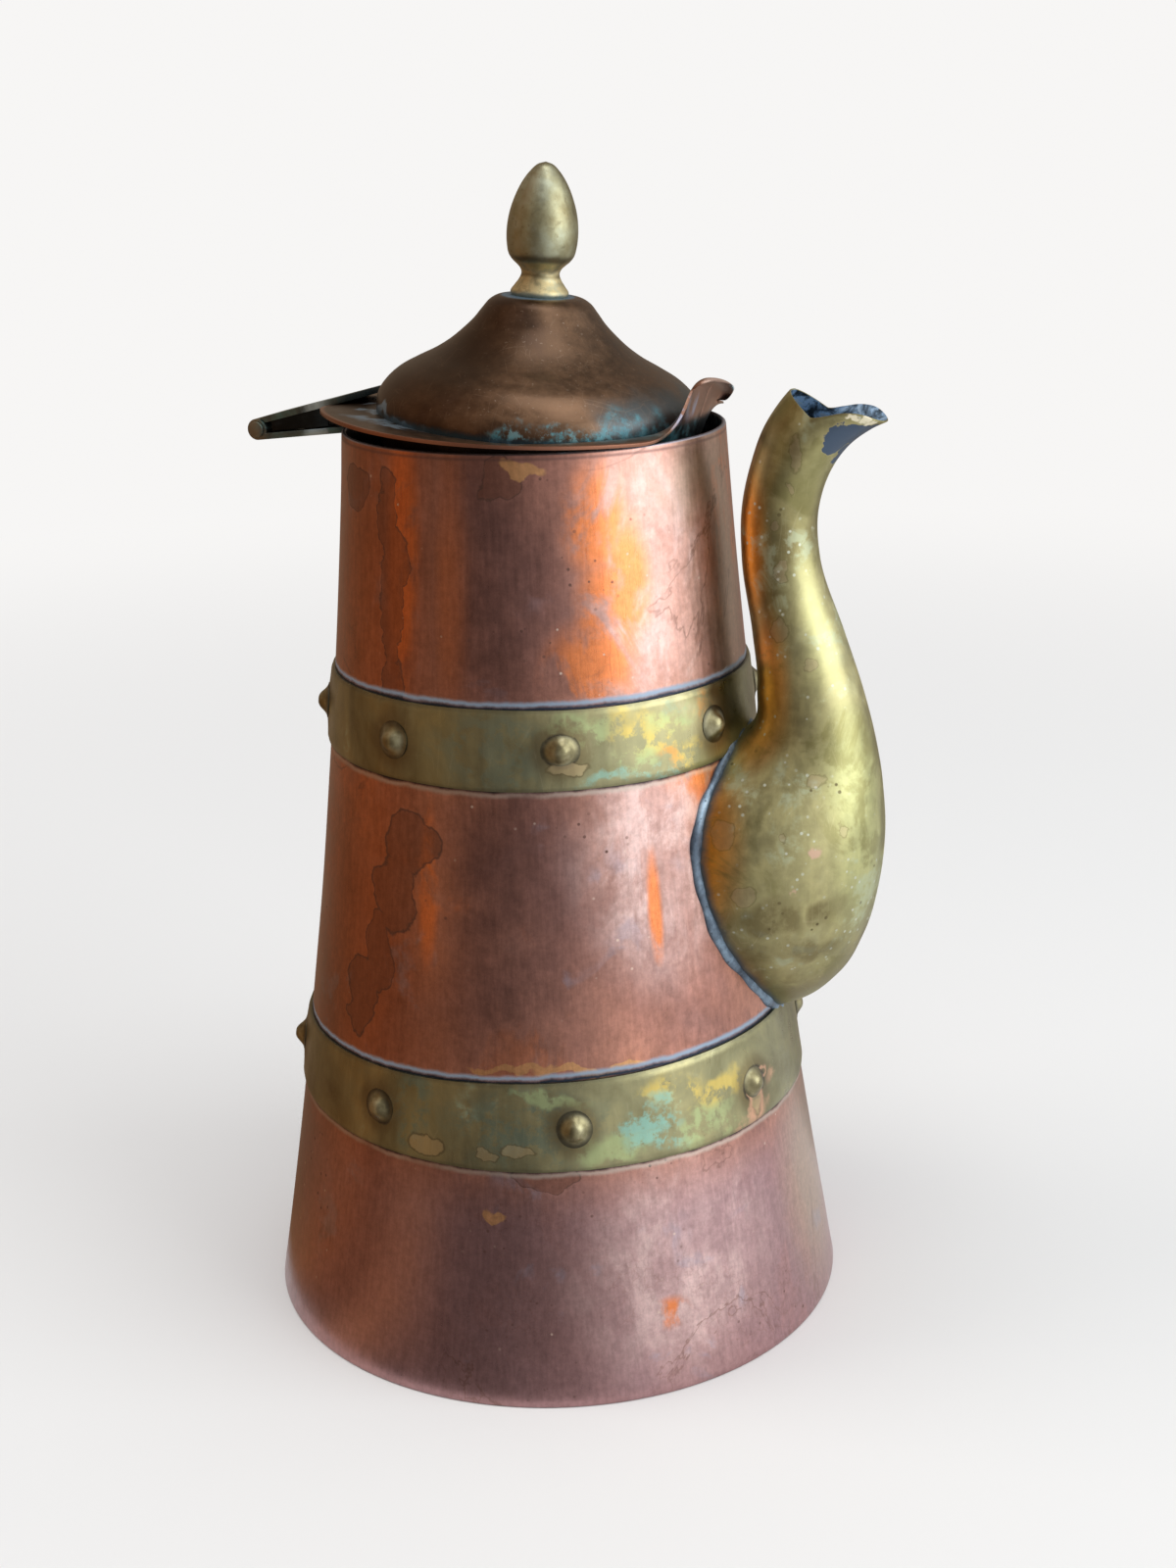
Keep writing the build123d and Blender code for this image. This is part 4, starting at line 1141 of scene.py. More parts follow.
def rivet_brass():
    """Domed brass rivets, darkest at the foot."""
    finish = Finish("rivet_brass", colours().hoop_brass, 0.32)
    cloud = finish.noise(320.0, detail=5.0)
    finish.tint = finish.ramp(cloud, (0.32, (0.15, 0.13, 0.07)), (0.5, (0.27, 0.24, 0.13)),
                              (0.66, (0.40, 0.37, 0.23)))
    proud = side_distance(finish)
    finish.coat(finish.step(proud, 0.0017, 0.0008), (0.05, 0.045, 0.03), 0.55)
    finish.rough = finish.step(cloud, 0.3, 0.7, 0.28, 0.42)
    finish.relief(finish.noise(900.0, detail=3.0), 0.03)
    return finish.done()


def spout_brass():
    """Satin brass, greener towards the nose, with ring stains, dark blotches, a worn slate patch and a
    painted orange reflection of the body.
    """
    tone = colours()
    finish = Finish("spout_brass", tone.spout_brass, 0.34)
    cloud = finish.noise((34.0, 34.0, 20.0), detail=6.0, rough=0.6, warp=0.5)
    fine = finish.noise(190.0, detail=6.0, rough=0.68)
    finish.tint = finish.ramp(cloud, (0.30, (0.20, 0.155, 0.06)), (0.45, tone.spout_brass),
                              (0.60, (0.44, 0.40, 0.20)), (0.72, (0.50, 0.50, 0.30)))
    finish.rough = finish.step(fine, 0.3, 0.7, 0.38, 0.52)
    # painted reflection: bright orange on the neck and bulb flanks that face the body, where the brass
    # mirrors the copper
    warm = finish.reach(((47.0, -11.0, 134.0, 6.0, 14.0), (43.0, -8.0, 160.0, 5.0, 18.0),
                         (47.0, 11.0, 134.0, 6.0, 14.0), (38.0, -20.0, 104.0, 9.0, 16.0),
                         (38.0, 20.0, 104.0, 9.0, 16.0)))
    finish.coat(finish.step(warm, 1.4, 0.4), (0.90, 0.36, 0.03), 0.30, share=0.9)
    green = finish.reach(((70.0, -6.0, 100.0, 9.0, 12.0), (68.0, -8.0, 116.0, 7.0, 16.0),
                          (60.0, -8.0, 158.0, 5.0, 20.0), (69.0, 8.0, 104.0, 9.0, 20.0)))
    finish.coat(finish.step(green, 1.5, 0.4), (0.52, 0.55, 0.26), 0.36, share=0.45)
    ragged = finish.wandering(0.005, 120.0)
    finish.shade(finish.step(fine, 0.25, 0.75, 0.80, 1.20))
    flame = finish.noise(64.0, detail=7.0, rough=0.62, warp=0.7)
    bloom = finish.both(finish.step(flame, 0.52, 0.60), finish.step(fine, 0.44, 0.56))
    finish.coat(bloom, (0.46, 0.52, 0.36), 0.46, 0.85, share=0.55)
    olive = finish.both(finish.step(flame, 0.48, 0.40), finish.step(cloud, 0.62, 0.46))
    finish.coat(olive, (0.21, 0.185, 0.06), 0.36, share=0.55)
    pale = finish.dots(520.0, 0.12, 0.20)
    finish.coat(finish.both(pale, finish.step(flame, 0.44, 0.56)), (0.56, 0.58, 0.46), 0.5, 0.8)
    dark = finish.reach(((52.5, -17.0, 91.0, 7.0, 4.5), (49.0, -15.0, 85.0, 5.0, 4.0),
                         (58.0, -14.0, 84.0, 7.0, 3.5), (64.0, -14.0, 92.0, 4.0, 3.0),
                         (50.0, 17.0, 90.0, 7.0, 6.0), (66.0, 8.0, 84.0, 6.0, 4.0)), ragged)
    finish.coat(finish.both(finish.step(dark, 1.3, 0.6), finish.step(fine, 0.36, 0.60, 0.3, 1.0)),
                (0.13, 0.095, 0.035), 0.5, share=0.7)
    wet = finish.wandering(0.0022, 260.0)
    rings = finish.reach(((54.4, -7.4, 178.0, 1.3, 3.4), (53.4, -7.4, 171.0, 1.0, 1.6),
                          (50.6, -7.4, 164.0, 1.2, 1.3), (52.0, -8.0, 156.0, 1.6, 2.0),
                          (56.0, -8.0, 150.0, 1.1, 1.4), (51.5, -8.4, 145.0, 1.8, 2.2),
                          (58.0, -8.5, 139.0, 1.5, 1.6), (49.8, 7.6, 160.0, 1.6, 3.0),
                          (60.0, -13.0, 117.0, 2.2, 1.6), (48.0, -20.0, 96.0, 2.6, 1.8),
                          (66.0, -13.0, 108.0, 1.8, 2.2), (60.0, 16.0, 112.0, 3.0, 4.0),
                          (56.0, -19.0, 108.0, 1.2, 1.2), (44.0, -20.5, 108.0, 2.4, 3.0)), wet)
    finish.coat(finish.step(rings, 1.0, 0.85), (0.46, 0.33, 0.22), 0.42, share=0.28)
    finish.coat(finish.band(rings, 1.0, 0.14), (0.17, 0.135, 0.06), 0.5, share=0.45)
    scrape = finish.reach(((57.6, -19.5, 97.0, 1.3, 3.0), (59.6, -19.0, 101.0, 1.2, 3.2),
                           (62.2, -17.5, 105.0, 2.2, 2.0), (64.0, -16.0, 107.0, 1.6, 1.2)), wet)
    finish.coat(finish.step(scrape, 1.1, 0.8), (0.66, 0.42, 0.33), 0.45, share=0.75)
    brushing(finish, 0.06, 0.010, (520.0, 520.0, 16.0))
    scratches(finish, (0.60, 0.54, 0.32), 0.14, 240.0)
    specks = finish.dots(360.0, 0.09, 0.17)
    finish.coat(finish.both(specks, finish.step(finish.noise(60.0), 0.50, 0.64)), (0.12, 0.09, 0.04), 0.6)
    edge = finish.wandering(0.0028, 330.0)
    worn = finish.reach(((60.5, -3.4, 181.2, 4.0, 3.0), (64.5, -2.0, 181.2, 4.4, 2.5),
                         (61.5, -5.4, 179.6, 2.6, 2.6), (60.5, 3.4, 181.2, 4.0, 3.0),
                         (64.5, 2.0, 181.2, 4.4, 2.5), (61.2, 0.0, 177.4, 3.4, 2.6)), edge)
    finish.coat(finish.step(worn, 1.03, 0.95), (0.055, 0.085, 0.135), 0.5, 0.6)
    glint = finish.reach(((64.6, -6.1, 184.6, 1.5, 0.5), (66.4, -5.1, 184.0, 1.3, 0.6),
                          (67.5, -3.8, 183.3, 1.2, 0.6)), wet)
    finish.coat(finish.step(glint, 1.2, 0.7), (0.95, 0.88, 0.66), 0.36, 0.5, share=0.9)
    finish.coat(finish.band(worn, 1.02, 0.08), (0.46, 0.40, 0.20), 0.4, share=0.6)
    proud = finish.nudged(side_distance(finish), fine, 0.002)
    _, _, z = finish.axes()
    near_root = finish.both(finish.step(proud, 0.0030, 0.0006), finish.step(z, 0.125, 0.115))
    finish.coat(near_root, (0.10, 0.13, 0.15), 0.55)
    finish.relief(finish.noise(80.0, detail=3.0), 0.10)
    return finish.done()


def lid_places(finish):
    """Object coordinates turned and moved into the lid's own upright frame."""
    tilt = math.radians(LID_TILT)
    lift = LID_HEIGHT * MM
    return finish.stretched((1.0, 1.0, 1.0), (lift * math.sin(tilt), 0.0, -lift * math.cos(tilt)),
                            (0.0, -tilt, 0.0))


def lid_copper(name, brim):
    """Dark brown copper with a light speckle and blue-green tarnish at the foot and under the finial."""
    tone = colours()
    finish = Finish(name, tone.lid_copper, 0.36)
    finish.place = lid_places(finish)
    cloud = finish.noise((34.0, 34.0, 50.0), detail=6.0, rough=0.62, warp=0.4)
    fine = finish.noise(420.0, detail=6.0, rough=0.72)
    finish.tint = finish.ramp(cloud, (0.30, (0.075, 0.044, 0.032)), (0.46, tone.lid_copper),
                              (0.60, (0.155, 0.088, 0.050)), (0.74, (0.21, 0.12, 0.068)))
    finish.rough = finish.step(fine, 0.3, 0.7, 0.30, 0.46)
    speckle = finish.step(finish.noise(1500.0, detail=2.0), 0.66, 0.74)
    finish.coat(speckle, (0.36, 0.28, 0.22), 0.5, share=0.4)
    finish.shade(finish.step(fine, 0.30, 0.70, 0.85, 1.15))
    ragged = finish.wandering(0.005, 150.0)
    cyan = finish.reach(on_foot((-74, 6, 1.6, 1.5, 0), (-60, 6, 2.4, 1.5, 0), (-48, 7, 3.0, 1.5, 0),
                                (-36, 7, 3.4, 2.2, 0), (-24, 6, 3.2, 1.5, 0), (-12, 6, 3.0, 1.5, 0),
                                (30, 9, 2.6, 1.5, 0), (75, 9, 2.0, 1.5, 0), (150, 9, 2.4, 1.5, 0)), ragged)
    grain = finish.step(finish.noise(240.0, detail=6.0, rough=0.7), 0.42, 0.60)
    finish.coat(finish.both(finish.step(cyan, 1.4, 0.5), grain, finish.step(fine, 0.36, 0.54)),
                tone.verdigris, 0.55, 0.6)
    finish.coat(finish.both(finish.step(cyan, 1.0, 0.4), finish.step(fine, 0.52, 0.60)), (0.22, 0.50, 0.56),
                0.6, 0.5, share=0.6)
    deep = finish.reach(on_foot((-30, 9, 6, 4.0, 0), (-10, 9, 7, 4.0, 0), (10, 9, 6, 4.0, 0)), ragged)
    finish.coat(finish.step(deep, 1.4, 0.4), (0.035, 0.085, 0.11), 0.45, share=0.6)
    shaded = finish.reach(on_foot((-150, 24, 24, 8.0, 0), (-125, 16, 14, 12.0, 11.4)))
    finish.coat(finish.step(shaded, 1.4, 0.2), (0.040, 0.022, 0.012), 0.36, share=0.75)
    arcs = finish.reach(on_foot((-139, 7, 1.2, 1.0, 0), (-120, 6, 1.0, 0.8, 0), (-158, 8, 1.4, 1.0, 0),
                                (175, 8, 1.6, 1.0, 0)), ragged)
    finish.coat(finish.step(arcs, 1.2, 0.6), (0.22, 0.32, 0.40), 0.5, 0.7, share=0.7)
    x, y, z = finish.axes()
    height = finish.nudged(z, fine, 0.0016)
    radius = finish.hypot(x, y)
    if brim:
        face = finish.step(height, 0.0026, 0.0050)
        finish.coat(face, (0.47, 0.25, 0.17), 0.36)
        brown = finish.both(face, finish.step(cloud, 0.44, 0.56))
        finish.coat(brown, (0.25, 0.13, 0.09), 0.34, share=0.7)
        streak = finish.noise((150.0, 150.0, 34.0), detail=6.0, rough=0.6, warp=0.5)
        sheen = finish.both(face, finish.step(height, 0.0100, 0.0065), finish.step(streak, 0.50, 0.58))
        finish.coat(sheen, (0.42, 0.43, 0.56), 0.3, share=0.8)
        roll = finish.both(finish.step(x, 0.0352, 0.0366), finish.step(height, 0.0068, 0.0078))
        finish.coat(roll, (0.42, 0.29, 0.235), 0.42, 0.35, share=0.85)
        finish.coat(finish.both(roll, finish.step(streak, 0.50, 0.60)), (0.30, 0.15, 0.085), 0.4, share=0.6)
        tip = finish.both(finish.step(x, 0.0378, 0.0389), finish.step(height, 0.0106, 0.0096))
        finish.coat(tip, (0.46, 0.66, 0.76), 0.4, 0.3, share=0.85)
        edge = sizes().brim_radius
        rim = finish.both(finish.step(radius, edge - 1.1 * MM, edge - 0.3 * MM),
                          finish.step(height, 0.0045, 0.0025))
        finish.coat(rim, (0.40, 0.175, 0.11), 0.32, share=0.75)
    else:
        wander = finish.math("MULTIPLY_ADD", cloud, 0.004, radius)
        finish.coat(finish.step(wander, 0.0094, 0.0086), (0.12, 0.20, 0.28), 0.5, 0.7)
        finish.coat(finish.step(height, 0.0016, 0.0004), (0.04, 0.07, 0.09), 0.5)
    scratches(finish, (0.34, 0.24, 0.17), 0.16, 260.0)
    finish.relief(fine, 0.020)
    finish.relief(finish.noise(120.0, detail=2.0), 0.06)
    return finish.done()


def finial_brass():
    """Dull satin brass, pale and rough at the neck and collar where the casting was left."""
    tone = colours()
    finish = Finish("finial_brass", tone.finial_brass, 0.38)
    finish.place = lid_places(finish)
    cloud = finish.noise(110.0, detail=6.0, rough=0.62)
    fine = finish.noise(700.0, detail=5.0, rough=0.7)
    finish.tint = finish.ramp(cloud, (0.32, (0.22, 0.185, 0.09)), (0.48, tone.finial_brass),
                              (0.64, (0.43, 0.455, 0.34)))
    finish.rough = finish.step(fine, 0.3, 0.7, 0.33, 0.50)
    _, _, z = finish.axes()
    crown = float(DOME_PROFILE[0, 1])
    height = finish.nudged(z, cloud, 0.002)
    neck = finish.both(finish.step(height, (crown + 7.4) * MM, (crown + 5.8) * MM),
                       finish.step(fine, 0.36, 0.60, 0.35, 1.0))
    finish.coat(neck, (0.62, 0.52, 0.29), 0.52)
    finish.coat(finish.step(height, (crown + 1.2) * MM, (crown + 0.3) * MM), (0.12, 0.17, 0.17), 0.55, 0.8,
                share=0.8)
    finish.coat(finish.band(height, (crown + 3.9) * MM, 0.0007), (0.14, 0.11, 0.05), 0.5, share=0.7)
    finish.coat(finish.band(height, (crown + 7.0) * MM, 0.0010), (0.12, 0.10, 0.05), 0.5, share=0.6)
    speckle = finish.step(finish.noise(800.0, detail=2.0), 0.62, 0.72)
    finish.coat(speckle, (0.15, 0.12, 0.06), 0.5, share=0.35)
    finish.relief(fine, 0.035)
    finish.relief(finish.noise(150.0, detail=2.0), 0.06)
    return finish.done()


def hinge_tarnish_and_highlight():
    """Dark tarnished brass with teal-green areas and brown high spots, and solder near the brim with a
    painted pale cyan highlight on it.
    """
    finish = Finish("hinge_tarnish_and_highlight", (0.10, 0.13, 0.125), 0.42, 0.95)
    cloud = finish.noise((160.0, 90.0, 160.0), detail=6.0, rough=0.65, warp=0.4)
    fine = finish.noise(600.0, detail=5.0, rough=0.7)
    finish.tint = finish.ramp(cloud, (0.30, (0.035, 0.045, 0.05)), (0.46, (0.10, 0.12, 0.11)),
                              (0.58, (0.11, 0.20, 0.19)), (0.70, (0.26, 0.32, 0.29)))
    finish.rough = finish.step(fine, 0.3, 0.7, 0.34, 0.56)
    x, _, _ = finish.axes()
    wander = finish.nudged(x, cloud, 0.008)
    # painted highlight: a pale cyan band across the strap at x = -44 mm, on the solder near the brim's edge
    finish.coat(finish.band(wander, -0.0440, 0.0040), (0.50, 0.66, 0.76), 0.36, share=0.85)
    finish.coat(finish.step(wander, -0.041, -0.036), (0.018, 0.030, 0.036), 0.5, share=0.9)
    finish.coat(finish.step(wander, -0.0545, -0.057), (0.30, 0.21, 0.12), 0.4, share=0.55)
    finish.relief(fine, 0.05)
    finish.relief(finish.noise(170.0, detail=2.0), 0.15)
    return finish.done()


def dull_solder():
    """Grey-blue solder with a white bloom and dark pits."""
    finish = Finish("dull_solder", colours().solder, 0.5, 0.6)
    cloud = finish.noise(170.0, detail=6.0, rough=0.65)
    finish.tint = finish.ramp(cloud, (0.32, (0.035, 0.05, 0.075)), (0.50, colours().solder),
                              (0.64, (0.26, 0.36, 0.46)), (0.76, (0.50, 0.60, 0.67)))
    pits = finish.dots(700.0, 0.10, 0.2)
    finish.coat(pits, (0.05, 0.055, 0.06), 0.7, share=0.6)
    finish.relief(finish.noise(380.0, detail=4.0), 0.16)
    return finish.done()


def plain_metal(name, dark, tint, light):
    """Unpolished inner metal: three tones of cloud, fine grain and turning or rolling lines."""
    finish = Finish(name, tint, 0.45)
    cloud = finish.noise(80.0, detail=6.0, rough=0.65)
    finish.tint = finish.ramp(cloud, (0.32, dark), (0.5, tint), (0.68, light))
    finish.rough = finish.step(finish.noise(400.0), 0.3, 0.7, 0.38, 0.56)
    brushing(finish, 0.08, 0.01, (60.0, 700.0, 700.0))
    return finish.done()


# --- operators: one for each piece or group of like pieces, and one for the stage ---


class POT_OT_body(bpy.types.Operator):
    """Make the worked copper body, with its rim, foot and port, and dress the base plate"""

    bl_idname = "pot.body"
    bl_label = "Body"

    def execute(self, context):
        piece = grid_piece("pot_body", body_skin())
        copper = body_copper()
        inside = tinned_inside("body_inside", (0.12, 0.13, 0.15), 0.3)
        cutter = self.port_cutter()
        cut = piece.modifiers.new("port", "BOOLEAN")
        cut.operation = "DIFFERENCE"
        cut.solver = "EXACT"
        cut.object = cutter
        settle(piece)
        bpy.data.objects.remove(cutter)
        finish_piece(piece, (copper, inside), "pot", "copper_body", "body_shell")
        self.line_inside(piece.data)
        plate = plain_metal("base_plate_copper", (0.20, 0.11, 0.09), (0.40, 0.20, 0.14), (0.55, 0.32, 0.24))
        dress_node("base_plate", plate)
        return {"FINISHED"}

    def port_cutter(self):
        """Cylinder along X that passes the spout side of the body only."""
        radius = body_radius(PORT_HEIGHT)
        near, far = radius - PORT_REACH, radius + PORT_REACH
        bar = np.array(((0.0, near), (PORT_RADIUS, near), (PORT_RADIUS, far), (0.0, far)))
        grid = spun(bar, PORT_TURNS)
        turned = np.stack([grid[..., 2], grid[..., 1], PORT_HEIGHT - grid[..., 0]], axis=-1)
        return grid_piece("port_cutter", turned, wrap_rows=False)

    def line_inside(self, mesh):
        """Second material on faces that look towards the axis below the rim."""
        count = len(mesh.polygons)
        centre = np.empty(count * 3)
        normal = np.empty(count * 3)
        mesh.polygons.foreach_get("center", centre)
        mesh.polygons.foreach_get("normal", normal)
        centre = centre.reshape(-1, 3)
        normal = normal.reshape(-1, 3)
        inward = (centre[:, :2] * normal[:, :2]).sum(axis=1) < 0
        shallow = centre[:, 2] < (BODY_HEIGHT - 0.3) * MM
        mesh.polygons.foreach_set("material_index", (inward & shallow).astype(np.int32))
        mesh.update()


class POT_OT_hoops(bpy.types.Operator):
    """Make the two brass hoops, swelled a little over each rivet's foot"""

    bl_idname = "pot.hoops"
    bl_label = "Hoops"

    def execute(self, context):
        for name, edges, taper, patches in (("upper_hoop", UPPER_HOOP, 0.0, UPPER_PATCHES),
                                            ("lower_hoop", LOWER_HOOP, LOWER_HOOP_TAPER, LOWER_PATCHES)):
            piece = grid_piece(name + "_brass", hoop_skin(*edges, taper))
            settle(piece, crease=50.0)
            metal = hoop_brass(name + "_tarnish", edges, taper, patches)
            finish_piece(piece, (metal,), "pot", "brass_hoop", name)
        return {"FINISHED"}


class POT_OT_rivets(bpy.types.Operator):
    """Make the domed rivets through both hoops, each a little unlike its neighbours"""

    bl_idname = "pot.rivets"
    bl_label = "Rivets"

    def execute(self, context):
        random = np.random.default_rng(RIVET_SEED)
        metal = rivet_brass()
        for name, edges in (("upper_hoop_rivets", UPPER_HOOP), ("lower_hoop_rivets", LOWER_HOOP)):
            grids = rivet_skins(sum(edges) / 2, random)
            faces = grid_faces(*grids.shape[1:3], False, True)
            each = np.arange(len(grids))[:, None, None] * grids.shape[1] * grids.shape[2]
            piece = new_piece(name + "_heads", grids, (faces[None] + each).reshape(-1, 4))
            settle(piece)
            finish_piece(piece, (metal,), "pot", "brass_hoop", name)
        return {"FINISHED"}


class POT_OT_spout(bpy.types.Operator):
    """Make the swan-necked spout as one sheet with its beaked mouth"""

    bl_idname = "pot.spout"
    bl_label = "Spout"

    def execute(self, context):
        piece = grid_piece("spout", spout_skin(), wrap_rows=False, wrap_columns=False, closed=False)
        for material in (spout_brass(), tinned_inside("spout_inside", (0.15, 0.24, 0.35), 1.0)):
            piece.data.materials.append(material)
        solid = thicken(piece, sizes().spout_wall)
        solid.material_offset = 1
        solid.material_offset_rim = 0
        round_edges(piece, rounding=0.25)
        settle(piece)
        finish_piece(piece, (), "pot", "brass_spout", "spout_left_half", "spout_right_half")
        return {"FINISHED"}


class POT_OT_solder(bpy.types.Operator):
    """Run the solder bead round the spout's root"""

    bl_idname = "pot.solder"
    bl_label = "Solder bead"

    def execute(self, context):
        piece = grid_piece("solder_bead", bead_skin())
        settle(piece, crease=80.0)
        finish_piece(piece, (dull_solder(),), "pot", "solder", "spout_solder")
        return {"FINISHED"}


class POT_OT_lid(bpy.types.Operator):
    """Make the lid's dome, its brim with the thumb tongue and its liner ring"""

    bl_idname = "pot.lid"
    bl_label = "Lid"

    def execute(self, context):
        dome = grid_piece("dome", dome_skin())
        settle(dome)
        finish_piece(dome, (lid_copper("dome_copper", False),), "lid", "copper_lid", "lid_dome")
        brim = grid_piece("brim_and_tongue", brim_skin(), wrap_rows=False, closed=False)
        brim.data.materials.append(lid_copper("brim_copper", True))
        thicken(brim, sizes().brim_thickness)
        round_edges(brim, rounding=0.18)
        settle(brim)
        finish_piece(brim, (), "lid", "copper_lid", "lid_brim")
        liner = grid_piece("lid_liner_sheet", liner_skin())
        round_edges(liner, rounding=0.2)
        settle(liner)
        # painted shade: near-black tones on the liner stand in for the dark crevice under the brim
        tarnished = plain_metal("liner_copper_painted_shade", (0.03, 0.024, 0.022), (0.075, 0.05, 0.042),
                                (0.14, 0.10, 0.08))
        finish_piece(liner, (tarnished,), "lid", "copper_lid", "lid_liner")
        return {"FINISHED"}


class POT_OT_finial(bpy.types.Operator):
    """Turn the brass bud and dress its washer and nut"""

    bl_idname = "pot.finial"
    bl_label = "Finial"

    def execute(self, context):
        piece = grid_piece("bud_finial", finial_skin(), wrap_rows=False)
        settle(piece)
        finish_piece(piece, (finial_brass(),), "lid", "brass_finial", "finial")
        metal = plain_metal("nut_brass", (0.20, 0.16, 0.08), (0.38, 0.32, 0.16), (0.52, 0.46, 0.27))
        dress_node("finial_washer", metal)
        dress_node("finial_nut", metal)
        return {"FINISHED"}


class POT_OT_hinge(bpy.types.Operator):
    """Soften and dress the strap hinge's leaves and pin, and add its strap's turned-down sides in near black
    as painted shade
    """

    bl_idname = "pot.hinge"
    bl_label = "Hinge"

    def execute(self, context):
        metal = hinge_tarnish_and_highlight()
        for node, body, rounding in (("hinge_body_leaf", "pot", 0.25), ("hinge_lid_leaf", "lid", 0.30),
                                     ("hinge_pin", "pot", 0.15)):
            piece = softened_copy(node, node + "_worn", rounding)
            finish_piece(piece, (metal,), body, "hinge_metal", node)
        rings = hinge_cheeks()
        sides = grid_faces(2, 4, False, True)
        box = np.concatenate([sides, np.array(((0, 1, 2, 3), (7, 6, 5, 4)))])
        cheeks = new_piece("hinge_cheeks", rings, np.concatenate([box, box + 8]))
        round_edges(cheeks, rounding=0.12)
        settle(cheeks)
        # painted shade: the strap's sides are near black, standing in for the shade between the two straps
        dark = plain_metal("cheek_painted_shade", (0.003, 0.004, 0.005), (0.009, 0.012, 0.014),
                           (0.03, 0.045, 0.055))
        finish_piece(cheeks, (dark,), "lid", "hinge_metal")
        return {"FINISHED"}


CAMERA_RIGHT = Vector((0.9374, 0.3475, -0.0228))
CAMERA_UP = Vector((-0.0870, 0.2972, 0.9508))
CAMERA_FORWARD = Vector((-0.3372, 0.8894, -0.3089))
CAMERA_PLACE = Vector((152.1, -376.4, 238.9)) * MM
CAMERA_LENS = 47.9
CAMERA_FILM = 36.0
AIM = Vector((0.0, 0.0, 0.10))

# each lamp: name, azimuth and elevation in degrees, distance, width and height in metres, watts, tint
LAMPS = (("window", -6.0, 18.0, 1.25, 1.15, 1.25, 11.5, (0.93, 0.98, 1.0)),
         ("side_fill", -160.0, 40.0, 1.5, 0.8, 0.8, 4.8, (1.0, 0.93, 0.86)),
         ("ceiling", -60.0, 80.0, 1.5, 1.2, 1.2, 9.0, (1.0, 1.0, 1.0)))

BACKDROP = (0.93, 0.92, 0.91)
FLOOR_TINT = (0.80, 0.79, 0.78)
FLOOR_DROP = 0.02
FLOOR_RINGS = (0.0, 150.0, 400.0, 900.0, 2000.0, 5000.0)
# metres from the pot between which the shaded floor fades into the backdrop
FLOOR_FADE = (0.22, 0.9)
WORLD_TINT = (0.95, 0.97, 1.0)
WORLD_LIGHT = 0.55

# radius and height of the reflected wall, and the azimuths between which it stands
WALL_PROFILE = np.array(((64.0, 0.6), (160.0, 2.0), (330.0, 4.0), (345.0, 300.0), (330.0, 600.0),
                         (250.0, 800.0), (120.0, 900.0)))
WALL_TURN = (50.0, 314.0)
WALL_COLUMNS = 67
# what the metal mirrors, by azimuth in degrees: warm browns, a dim front and a bright right
ROOM_TONES = ((-180.0, (0.20, 0.115, 0.06)), (-152.0, (0.33, 0.17, 0.08)), (-136.0, (0.19, 0.12, 0.08)),
              (-122.0, (0.46, 0.31, 0.19)), (-106.0, (0.19, 0.15, 0.13)), (-84.0, (0.21, 0.19, 0.18)),
              (-66.0, (0.42, 0.39, 0.38)), (-47.0, (0.85, 0.85, 0.85)), (50.0, (0.42, 0.40, 0.36)),
              (80.0, (0.30, 0.25, 0.20)), (130.0, (0.27, 0.20, 0.14)), (180.0, (0.20, 0.115, 0.06)))


